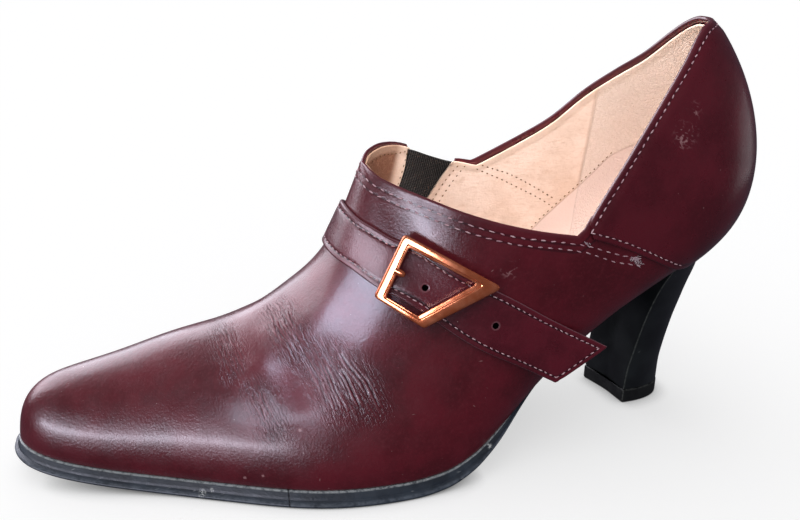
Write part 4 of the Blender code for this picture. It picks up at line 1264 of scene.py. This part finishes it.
def solePiece():
    share = np.linspace(0, 1, sole["steps"] + 1)
    ks = np.concatenate([share * sole["endOuter"], (loopLength - share * sole["endInner"])[:0:-1]])
    a = np.minimum(ks, loopLength - ks)
    loops = []
    for over, deep in sole["edge"]:
        wide = over + level(sole["flare"], a) * deep
        inset = level(sole["waistInset"], a) - wide * (1 - level(sole["waistFade"], a))
        flat = feather(ks, inset)[0]
        base = baseLine(flat[:, 0])
        z = base - sole["gap"] - (base - underLine(flat[:, 0]) - sole["gap"]) * deep
        loops.append(np.column_stack([flat, z]))
    side = np.stack(loops, 1)
    steps, count = sole["steps"], len(ks)
    t = np.linspace(0, 1, sole["across"] + 1)[None, :, None]
    rear = side[steps] + (side[steps + 1] - side[steps]) * t[0, 1:-1, :, None]      # the end under the heel
    side = np.concatenate([side[:steps + 1], rear, side[steps + 1:], side[:1]])
    along = np.concatenate([ks[:steps + 1], np.full(len(rear), ks[steps]), ks[steps + 1:], [loopLength]])
    block = Patches()
    block.grid(side, (along[:, None], np.array([deep for over, deep in sole["edge"]])))
    for edge, v in ((0, 0.3), (-1, 1.1)):
        left = loops[edge][:steps + 1]
        right = loops[edge][[(count - i) % count for i in range(steps + 1)]]
        block.grid(left[:, None] * (1 - t) + right[:, None] * t, (0.0, v))
    return block.make("outsole_rubber", soleFinish(), sharp=50)


place(solePiece(), "outsole", "outsole")


# Heel and its top piece
heel = {
    "sections": [           # height, breast, half width, depth
        (5.8, 120.0, 10.4, 19.2), (14.0, 120.4, 10.7, 18.8), (22.0, 121.6, 11.2, 18.6),
        (31.0, 123.0, 12.0, 18.9), (41.0, 124.4, 13.7, 19.8), (50.0, 126.2, 15.9, 20.0),
        (57.5, 128.0, 19.0, 18.2)],
    "skew": 11.0, "innerReach": 2.0, "middle": 0.5, "gap": 0.3, "steps": 44, "corner": 0.7, "backCurve": 0.86,
    "liftThick": 5.5,
    "liftRings": [          # height and growth over the heel
        (0.0, -0.9), (0.0, -0.35), (0.12, -0.08), (0.4, 0.12), (0.8, 0.2), (4.9, 0.2), (5.3, 0.12),
        (5.5, -0.1)],
}


def heelOutline(breast, half, depth, grow=0.0):
    # flat breast with softened corners and a rounded back, turned by the skew
    # also how near each point is to a corner, for the wear
    half, depth = half + grow, depth + grow
    flat = [(-grow, -half * t) for t in np.linspace(0, 1, 9)[:-1]]
    turn = np.radians(np.linspace(90, 0, 29))[1:]
    curve = heel["backCurve"]
    side = [(depth * math.cos(a) ** curve, -half * math.sin(a) ** curve) for a in turn]
    side[-1] = (depth, 0.0)
    before, after = np.array(flat[-1]), np.array(side[0])
    corner = np.array([-grow, -half])
    soft = min(heel["corner"], 0.8 * np.linalg.norm(after - corner))
    a, b = corner + unit(before - corner) * soft, corner + unit(after - corner) * soft
    t = np.linspace(0, 1, 7)[:, None]
    arc = a * (1 - t) ** 2 + 2 * corner * t * (1 - t) + b * t ** 2
    pts = np.array(flat + list(arc) + side)
    near = np.exp(-(np.linalg.norm(pts - arc[3], axis=1) / 0.2) ** 2)
    pts = np.concatenate([pts, pts[-2:0:-1] * (1, -1)])
    near = np.concatenate([near, near[-2:0:-1]])
    slant = math.tan(math.radians(heel["skew"]))
    x = breast + pts[:, 0] - slant * pts[:, 1] * (1 - pts[:, 0] / depth * 0.6)
    x = x - heel["innerReach"] * np.clip(pts[:, 1] / half, 0, 1) * np.clip(1 - pts[:, 0] / depth, 0, 1)
    return np.column_stack([x, heel["middle"] + pts[:, 1]]), near


def heelSection(z):
    heights, *columns = zip(*heel["sections"])
    return [float(level(list(zip(heights, column)), z)) for column in columns]


def capped(name, rings, worn, material):
    # stack of closed rings, each end filled by strips between its halves
    stack, worn = np.stack(rings), np.stack(worn)
    count, m = stack.shape[:2]
    block = Patches()
    uv = (np.linspace(0, 1, m + 1), np.linspace(0, 1, count)[:, None])
    block.grid(np.concatenate([stack, stack[:, :1]], 1), uv, worn=np.concatenate([worn, worn[:, :1]], 1))
    half = m // 2
    t = np.linspace(0, 1, 9)[None, :, None]
    for ring in (stack[0], stack[-1]):
        left, right = ring[:half + 1], ring[[(m - i) % m for i in range(half + 1)]]
        block.grid(left[:, None] * (1 - t) + right[:, None] * t)
    return block.make(name, material, sharp=50)


def lacquerFinish():
    f = Finish("black heel lacquer", Coat_Roughness=0.2)
    tone = f.noise(0.08, 4.0)
    colour = f.mix(f.step(tone, 0.3, 0.7), paint(18, 22, 24), paint(34, 40, 42))
    worn = f.held("worn") * f.step(f.noise(0.5, 4.0, 0.7), 0.28, 0.62)
    dust = f.dots(0.3, 0.06, 0.15).most(f.dashes((0.2, 0.1, 0.4), 5.0, 0.35, 0.10) * 0.5)
    colour = f.mix((worn * 0.5).most(dust * 0.4), colour, paint(140, 144, 142))
    height = f.noise(0.15, 2.0) * 0.10 + f.noise(2.2, 3.0) * 0.012
    coat = f.step(tone, 0.3, 0.7, 0.1, 0.25)
    return f.finish(colour, f.step(tone, 0.3, 0.7, 0.34, 0.46), height, coat=coat)


def liftFinish():
    f = Finish("black heel rubber")
    tone = f.noise(0.3, 4.0)
    colour = f.mix(f.step(tone, 0.3, 0.7), paint(15, 16, 17), paint(34, 36, 37))
    rub = f.held("worn") * f.step(f.noise(0.8, 5.0, 0.7), 0.35, 0.6)
    colour = f.mix((rub * 0.6).most(f.dots(0.5, 0.09, 0.2) * 0.4), colour, paint(130, 132, 130))
    return f.finish(colour, f.step(tone, 0.3, 0.7, 0.5, 0.68), f.noise(1.6, 4.0) * 0.07)


heelLow, heelHigh = heel["sections"][0][0], heel["sections"][-1][0]


def heelPiece():
    rings, worn = [], []
    for t in np.linspace(0, 1, heel["steps"] + 1):
        flat, near = heelOutline(*heelSection(heelLow + (heelHigh - heelLow) * t))
        seat = baseLine(flat[:, 0]) - heel["gap"]
        rings.append(np.column_stack([flat, heelLow + (seat - heelLow) * t]))
        worn.append(near)
    return capped("heel_block", rings, worn, lacquerFinish())


def topPiece():
    rings, worn = [], []
    for z, grow in heel["liftRings"]:
        flat, near = heelOutline(*heelSection(heelLow), grow=grow)
        rings.append(np.column_stack([flat, np.full(len(flat), z)]))
        worn.append(np.maximum(near, 0.5 * math.exp(-((z - heel["liftThick"]) / 0.3) ** 2)))
    return capped("heel_top_piece", rings, worn, liftFinish())


place(heelPiece(), "heel", "heel")
place(topPiece(), "heel_lift", "heel_lift")


# Stitches: rows along the seams, laid by Geometry Nodes
stitch = {
    "collar": {"pitch": 3.3, "length": 1.95, "width": 0.46, "height": 0.40},
    "quarter": {"pitch": 2.5, "length": 1.6, "width": 0.44, "height": 0.38},
    "strap": {"pitch": 2.2, "length": 1.45, "width": 0.42, "height": 0.36},
    "dots": {"pitch": 2.1, "length": 0.9, "width": 0.5, "height": 0.2},
    "seed": 11, "swing": (0.3, 0.12, 0.22), "smallest": (0.85, 0.85, 0.8), "largest": (1.12, 1.15, 1.2),
}


def threadFinish(name, pale, dark):
    f = Finish(name, Sheen_Weight=0.05, Specular_IOR_Level=0.1)
    colour = f.mix(f.step(f.noise(0.35, 3.0), 0.35, 0.65), dark, pale)
    ply = f.node("ShaderNodeTexWave", {"bands_direction": "DIAGONAL"},
                 {"Vector": f.spot, "Scale": 1.6, "Distortion": 1.0})
    return f.finish(colour, f.step(f.noise(0.8), 0.3, 0.7, 0.5, 0.7), ply * 0.05)


def stitchTree():
    tree = bpy.data.node_groups.new("stitches along a seam", "GeometryNodeTree")
    sockets = [("Seam", "NodeSocketGeometry"), ("Pitch", "NodeSocketFloat"), ("Length", "NodeSocketFloat"),
               ("Width", "NodeSocketFloat"), ("Height", "NodeSocketFloat"), ("Jitter", "NodeSocketFloat"),
               ("Seed", "NodeSocketInt"), ("Thread", "NodeSocketMaterial")]
    for name, kind in sockets:
        tree.interface.new_socket(name, in_out="INPUT", socket_type=kind)
    tree.interface.new_socket("Stitches", in_out="OUTPUT", socket_type="NodeSocketGeometry")
    given = addNode(tree, "NodeGroupInput")
    part = partial(wire, tree)

    def asked(name):
        return Wire(given.outputs[name])

    curve = part("GeometryNodeMeshToCurve", None, {"Mesh": asked("Seam")})
    points = part("GeometryNodeResampleCurve", {"mode": "LENGTH"}, {"Curve": curve, "Length": asked("Pitch")})
    lean = part("GeometryNodeInputNamedAttribute", {"data_type": "FLOAT_VECTOR"}, {"Name": "lean"})
    tangent = part("GeometryNodeInputTangent")
    upright = part("FunctionNodeAlignRotationToVector", {"axis": "Z"}, {"Vector": lean})
    turned = part("FunctionNodeAlignRotationToVector", {"axis": "X", "pivot_axis": "Z"},
                  {"Rotation": upright, "Vector": tangent})
    swing = part("FunctionNodeRandomValue", {"data_type": "FLOAT_VECTOR"},
                 {0: [-angle for angle in stitch["swing"]], 1: stitch["swing"], "Seed": asked("Seed")})
    swing = part("ShaderNodeVectorMath", {"operation": "SCALE"}, {0: swing, "Scale": asked("Jitter")})
    swing = part("FunctionNodeEulerToRotation", None, {0: swing})
    turned = part("FunctionNodeRotateRotation", {"rotation_space": "LOCAL"}, {0: turned, 1: swing})
    size = part("ShaderNodeCombineXYZ", None, {0: asked("Length"), 1: asked("Width"), 2: asked("Height")})
    vary = part("FunctionNodeRandomValue", {"data_type": "FLOAT_VECTOR"},
                {0: stitch["smallest"], 1: stitch["largest"], "Seed": asked("Seed")})
    size = part("ShaderNodeVectorMath", {"operation": "MULTIPLY"}, {0: size, 1: vary})
    bead = part("GeometryNodeMeshUVSphere", None, {"Segments": 8, "Rings": 5, "Radius": 0.5})
    laid = part("GeometryNodeInstanceOnPoints", None,
                {"Points": points, "Instance": bead, "Rotation": turned, "Scale": size})
    real = part("GeometryNodeRealizeInstances", None, {0: laid})
    done = part("GeometryNodeSetMaterial", None, {"Geometry": real, "Material": asked("Thread")})
    addNode(tree, "NodeGroupOutput", None, {0: done})
    return tree


seamTree = stitchTree()


def surfaceOf(*things):
    graph = bpy.context.evaluated_depsgraph_get()
    return [BVHTree.FromObject(thing, graph) for thing in things]


def onSurface(path, surface, lift=0.0):
    # path points moved to the nearest place on a mesh, with its normals
    spots, normals = [], []
    for p in path:
        at, normal, face, far = surface.find_nearest(Vector(p) * mm)
        spots.append(np.array(at) / mm + np.array(normal) * lift)
        normals.append(np.array(normal))
    return np.array(spots), np.array(normals)


def evenly(path, gap=0.8):
    # smooth path resampled at an even distance
    reach = np.concatenate([[0], np.cumsum(np.linalg.norm(np.diff(path, axis=0), axis=1))])
    want = np.linspace(0, reach[-1], max(3, int(reach[-1] / gap)))
    return np.column_stack([np.interp(want, reach, path[:, c]) for c in range(3)])


def stitchPiece(name, slot, rows, sizes, thread, jitter=1.0):
    # rows are (points, normals) pairs
    points, normals = (np.concatenate(part) for part in zip(*rows))
    ends = np.cumsum([len(row[0]) for row in rows])
    edges = [(i, i + 1) for i in range(len(points) - 1) if i + 1 not in ends]
    mesh = bpy.data.meshes.new(name)
    mesh.from_pydata((points * mm).tolist(), edges, [])
    lean = mesh.attributes.new("lean", "FLOAT_VECTOR", "POINT")
    lean.data.foreach_set("vector", normals.astype(np.float32).ravel())
    thing = added(bpy.data.objects.new(name, mesh))
    maker = thing.modifiers.new("stitches", "NODES")
    maker.node_group = seamTree
    values = {key.capitalize(): size * mm for key, size in sizes.items()}
    values.update({"Jitter": jitter, "Seed": stitch["seed"], "Thread": thread})
    for socket in seamTree.interface.items_tree:
        if socket.in_out == "INPUT" and socket.name in values:
            maker[socket.identifier] = values[socket.name]
    graph = bpy.context.evaluated_depsgraph_get()
    made = bpy.data.meshes.new_from_object(thing.evaluated_get(graph))
    bpy.data.objects.remove(thing)
    return place(finished(name, made, None), slot)


mauveThread = threadFinish("mauve thread", paint(250, 212, 222), paint(210, 160, 176))
liningThread = threadFinish("brown lining thread", paint(132, 100, 70), paint(96, 70, 48))
upperFace, quarterFace, strapFace, liningFace, sockFace = surfaceOf(
    upperPiece, quarterThing, strapThing, liningPiece, sockThing)


def collarPath(inset, fromStation, toStation):
    # line at a distance inside the collar edge, by its loop stations
    keep = (collarStations >= fromStation) & (collarStations <= toStation)
    return (collarEdge - collarOut * inset)[keep]


# the two rows under the collar go on along the seam below the quarter
seamTails = [
    [(10.60, 0.527), (10.97, 0.477), (11.39, 0.389), (11.72, 0.322)],
    [(10.64, 0.498), (10.97, 0.448), (11.39, 0.351), (11.82, 0.268)],
]
collarRows = []
for inset, tail in zip(upper["stitchRows"], seamTails):
    innerPart = collarPath(inset, loopLength - last["notch"][0] + 0.1, loopLength - throatStation)
    outerPart = collarPath(inset, throatStation, upper["stitchTo"])
    path = np.concatenate([innerPart, outerPart, shell(*np.array(tail).T)])
    collarRows.append(onSurface(evenly(path), upperFace, 0.06))
stitchPiece("collar_stitches", "upper", collarRows, stitch["collar"], mauveThread)

# frayed ends of the thread: place, count and length of the hairs
frays = {"spots": [((110.6, -28.6, 66.9), 60, 1.3), ((92.5, -30.5, 74.5), 8, 0.9)], "thick": 0.15, "seed": 5}
frayThread = threadFinish("frayed thread", paint(238, 216, 226), paint(204, 176, 190))


def fraysPiece():
    rng = random.Random(frays["seed"])
    tuft = Patches()
    t = np.linspace(0, 1, 9)[:, None]
    taper = frays["thick"] * np.sqrt(np.clip(1 - t ** 2, 0, 1)) * np.where(t == 0, 0.0, 1.0)
    turn = np.linspace(0, 2 * math.pi, 6)[:, None]
    seamRun, seamDown = (0.35, 0.0, 0.94), np.array([0.3, 0.0, -0.95])
    for spot, count, length in frays["spots"]:
        (root,), (normal,) = onSurface([spot], upperFace)
        slope = unit(np.cross(normal, seamRun))
        for _ in range(count):
            start = root + (slope * rng.gauss(0, 0.7) + seamDown * rng.gauss(0, 0.5)) * length
            run = normal * rng.uniform(0.05, 0.5) + slope * rng.uniform(-1, 1)
            run = unit(run + np.array([0, 0, rng.uniform(-1, 1)]))
            curl = np.array([rng.uniform(-1, 1) for _ in range(3)])
            line = start + normal * 0.15 + (run * t + curl * t * t) * length * rng.uniform(0.4, 0.9)
            side = unit(np.cross(run, normal))
            ring = side * np.cos(turn) + np.cross(run, side) * np.sin(turn)
            tube = line[:, None] + ring[None] * taper[:, :, None]
            tube[:, -1] = tube[:, 0]
            tuft.grid(tube)
    return tuft.make("seam_frays", frayThread, weld=1e-7)


place(fraysPiece(), "upper")


def quarterLine(ks, w, into):
    # line on the outside of the quarter, a distance up from w
    return skin(ks, w + into / stretch(ks, w), quarter["outside"])


quarterKs = quarterStations()
outerEnd, innerEnd = quarter["stitchLowTo"]
outerKs = quarterKs[quarterKs < outerEnd]
innerKs = quarterKs[quarterKs > loopLength - innerEnd]
quarterPaths = [quarterLine(quarterKs, collar(quarterKs), -quarter["stitchTop"])]
quarterPaths += [quarterLine(ks, quarterLow(ks), quarter["stitchLow"]) for ks in (outerKs, innerKs)]
quarterRows = [onSurface(evenly(path), quarterFace, 0.05) for path in quarterPaths]
stitchPiece("quarter_stitches", "back_quarter", quarterRows, stitch["quarter"], mauveThread)

lowEdge, highEdge = strapTop[:, 0], strapTop[:, -1]
toStitch = (highEdge - lowEdge) * (strap["stitchIn"] / strapWidth)[:, None]
middle = strapTop[:, strap["across"] // 2]
tipBack = np.argmin(np.abs(np.linalg.norm(middle[-1] - middle, axis=-1) - strap["stitchIn"]))
strapPaths = [(lowEdge + toStitch)[4:tipBack], strapTop[tipBack, 5:-5], (highEdge - toStitch)[4:tipBack]]
strapRows = [onSurface(evenly(path), strapFace, 0.05) for path in strapPaths]
stitchPiece("strap_stitches", "strap", strapRows, stitch["strap"], mauveThread)

# dotted rows on the lining, as (station, share of the column) on the inner side
liningSeams = [
    [(10.40, 0.636), (10.67, 0.595), (10.90, 0.552), (11.20, 0.475), (11.48, 0.392)],
    [(10.30, 0.628), (10.60, 0.572), (10.86, 0.515), (11.18, 0.435), (11.42, 0.362)],
    [(8.10, 0.852), (8.30, 0.824), (8.55, 0.796), (8.81, 0.775), (9.05, 0.768)],
    [(9.08, 0.758), (8.90, 0.712), (8.62, 0.652), (8.34, 0.592), (8.10, 0.545)],
    [(9.98, 0.660), (9.70, 0.625), (9.42, 0.585), (9.10, 0.540), (8.84, 0.505)],
    [(10.10, 0.652), (9.82, 0.612), (9.54, 0.572), (9.22, 0.525), (8.96, 0.490)],
    [(10.8, 0.262), (11.11, 0.300), (11.73, 0.370), (12.31, 0.457), (12.6, 0.512)],
]
liningRows = []
for seam in liningSeams:
    a, w = Spline(seam).at(np.linspace(0, len(seam) - 1, 60)).T
    liningRows.append(onSurface(evenly(skin(loopLength - a, w, lining["inside"])), liningFace, 0.02))
stitchPiece("lining_stitches", "upper", liningRows, stitch["dots"], liningThread, 0.4)

sockRows = [onSurface(evenly(sockTop[6:-6, column]), sockFace, 0.02) for column in (3, -4)]
stitchPiece("sock_stitches", "insole", sockRows, stitch["dots"], liningThread, 0.4)


# Floor, light and camera
studio = {
    "floor": 30.0, "floorColour": paint(190, 190, 191), "glow": 0.57, "contactShadow": 0.006,
    "air": [(0.0, 0.06), (0.46, 0.10), (0.54, 0.72), (1.0, 1.25)],  # brightness from below to straight up
    "shade": (-0.2, 0.5, 1.12, 0.30),                               # left, right, and the brightness there
    "room": (0.75, 0.72, 0.95, 1.0), "roomPower": 0.09,             # what the gloss shows
    # name, place, aim, width, height, brightness, colour, what it lights and on which pieces, none for all
    "lights": [
        ("instep window", (0, -37, 75), (22, -13, 20), 40, 24, 9.6, (0.80, 1.0, 1.28), "gloss",
         ("upper_leather",)),
        ("vamp window", (-28, -67, 51), (-6, -43, -4), 44, 24, 6.0, (0.84, 1.0, 1.22), "gloss",
         ("upper_leather",)),
        ("strap window", (-43, -48, 102), (15, -20, 56), 75, 31, 8.5, (0.96, 0.92, 1.08), "gloss",
         ("strap_leather",)),
        ("back window", (-609, 676, 615), (0, 0, 50), 1300, 900, 5.4, (0.96, 0.94, 1.05), "gloss", ()),
        ("low strip", (-770, -600, 95), (0, 0, 40), 750, 110, 25.0, (0.95, 0.94, 1.11), "gloss",
         ("upper_leather", "strap_leather", "outsole_rubber")),
        ("right card", (1000, 0, 40), (120, 0, 80), 450, 300, 0.6, (1.0, 0.97, 1.0), "gloss", ()),
        ("front card", (-134, -262, 166), (31, -24, 66), 130, 100, 25.0, (1.0, 1.0, 1.02), "gloss",
         ("buckle_frame",)),
        ("inside lamp", (85, -14, 190), (88, 20, 75), 60, 40, 33.0, (1.0, 0.97, 0.95), "matt",
         ("upper_lining", "sock_leather", "gore_elastic", "lining_stitches", "sock_stitches")),
    ],
}
view = {"azimuth": -12.39, "elevation": 22.69, "distance": 274.1, "focal": 810.9, "target": (39.0, 0.0, 62.3),
        "roll": -0.39, "frameWidth": 800}


def floorFinish():
    f = Finish("pale floor", Specular_IOR_Level=0.0, Emission_Strength=studio["glow"])
    # painted contact shadow: ambient occlusion darkens the floor's colour and glow near the shoe
    clear = f.node("ShaderNodeAmbientOcclusion", {"samples": 8}, {"Distance": studio["contactShadow"]}, "AO") ** 0.7
    contactShadow = paint(20, 20, 22)
    plug(f.tree, f.shader.inputs["Emission Color"], f.mix(clear, contactShadow, (1.0, 1.0, 1.0, 1.0)))
    return f.finish(f.mix(clear, contactShadow, studio["floorColour"]), 0.9)


def layFloor():
    half = studio["floor"]
    corners = [(-half, -half, 0), (half, -half, 0), (half, half, 0), (-half, half, 0)]
    mesh = bpy.data.meshes.new("floor")
    mesh.from_pydata(corners, [], [(0, 1, 2, 3)])
    mesh.materials.append(floorFinish())
    floor = added(bpy.data.objects.new("floor", mesh))
    floor.visible_glossy = False
    floor.visible_diffuse = False


def fillAir():
    # pale for the camera, dim for the gloss, brighter from the left for the rest
    world = bpy.data.worlds.new("studio")
    world.use_nodes = True
    tree = world.node_tree
    part = partial(wire, tree)
    toward = part("ShaderNodeTexCoord", out="Generated")
    leftX, rightX, leftPower, rightPower = studio["shade"]
    power = part("ShaderNodeMapRange", None, {
        "Value": part("ShaderNodeSeparateXYZ", None, {0: toward}, "X"), "From Min": leftX, "From Max": rightX,
        "To Min": leftPower, "To Max": rightPower})
    height = (part("ShaderNodeSeparateXYZ", None, {0: toward}, "Z") + 1.0) * 0.5
    stops = [(at, (bright, bright, bright, 1.0)) for at, bright in studio["air"]]
    air = tree.nodes["Background"]
    plug(tree, air.inputs["Color"], part("ShaderNodeValToRGB", {"stops": stops}, {0: height}, "Color"))
    plug(tree, air.inputs["Strength"], power)
    room = part("ShaderNodeBackground", None, {"Color": studio["room"], "Strength": studio["roomPower"]})
    white = part("ShaderNodeBackground", None, {"Color": (1.0, 1.0, 1.0, 1.0), "Strength": 1.0})
    shown = Wire(air.outputs[0])
    for ray, other in (("Is Glossy Ray", room), ("Is Camera Ray", white)):
        chosen = part("ShaderNodeLightPath", out=ray)
        shown = part("ShaderNodeMixShader", None, {0: chosen, 1: shown, 2: other})
    plug(tree, tree.nodes["World Output"].inputs["Surface"], shown)
    bpy.context.scene.world = world
    bpy.context.scene.view_settings.view_transform = "Standard"


def hangLamp(name, at, aim, width, height, bright, colour, use, lit):
    lamp = bpy.data.lights.new(name, "AREA")
    lamp.shape = "RECTANGLE"
    lamp.size = width * mm
    lamp.size_y = height * mm
    lamp.energy = bright * math.pi * lamp.size * lamp.size_y
    lamp.color = colour
    stand = added(bpy.data.objects.new(name, lamp))
    stand.location = Vector(at) * mm
    stand.rotation_euler = (Vector(at) - Vector(aim)).to_track_quat("Z", "Y").to_euler()
    stand.visible_camera = False
    stand.visible_diffuse = use == "matt"
    stand.visible_glossy = use == "gloss"
    if lit:
        group = bpy.data.collections.new(name)
        for piece in lit:
            group.objects.link(bpy.data.objects[piece])
        stand.light_linking.receiver_collection = group


def setCamera():
    turn, tip, roll = (math.radians(view[key]) for key in ("azimuth", "elevation", "roll"))
    back = np.array([math.sin(turn) * math.cos(tip), -math.cos(turn) * math.cos(tip), math.sin(tip)])
    right = np.array([math.cos(turn), math.sin(turn), 0.0])
    up = np.cross(back, right)
    right, up = right * math.cos(roll) + up * math.sin(roll), up * math.cos(roll) - right * math.sin(roll)
    eye = (np.array(view["target"]) + back * view["distance"]) * mm
    lens = bpy.data.cameras.new("photo view")
    lens.sensor_fit = "HORIZONTAL"
    lens.sensor_width = 36.0
    lens.lens = view["focal"] * lens.sensor_width / view["frameWidth"]
    lens.clip_start = 0.01
    camera = added(bpy.data.objects.new("photo view", lens))
    camera.matrix_world = Matrix(np.vstack([np.column_stack([right, up, back, eye]), [0, 0, 0, 1]]))
    bpy.context.scene.camera = camera


layFloor()
fillAir()
for row in studio["lights"]:
    hangLamp(*row)
setCamera()
print("studio ready")
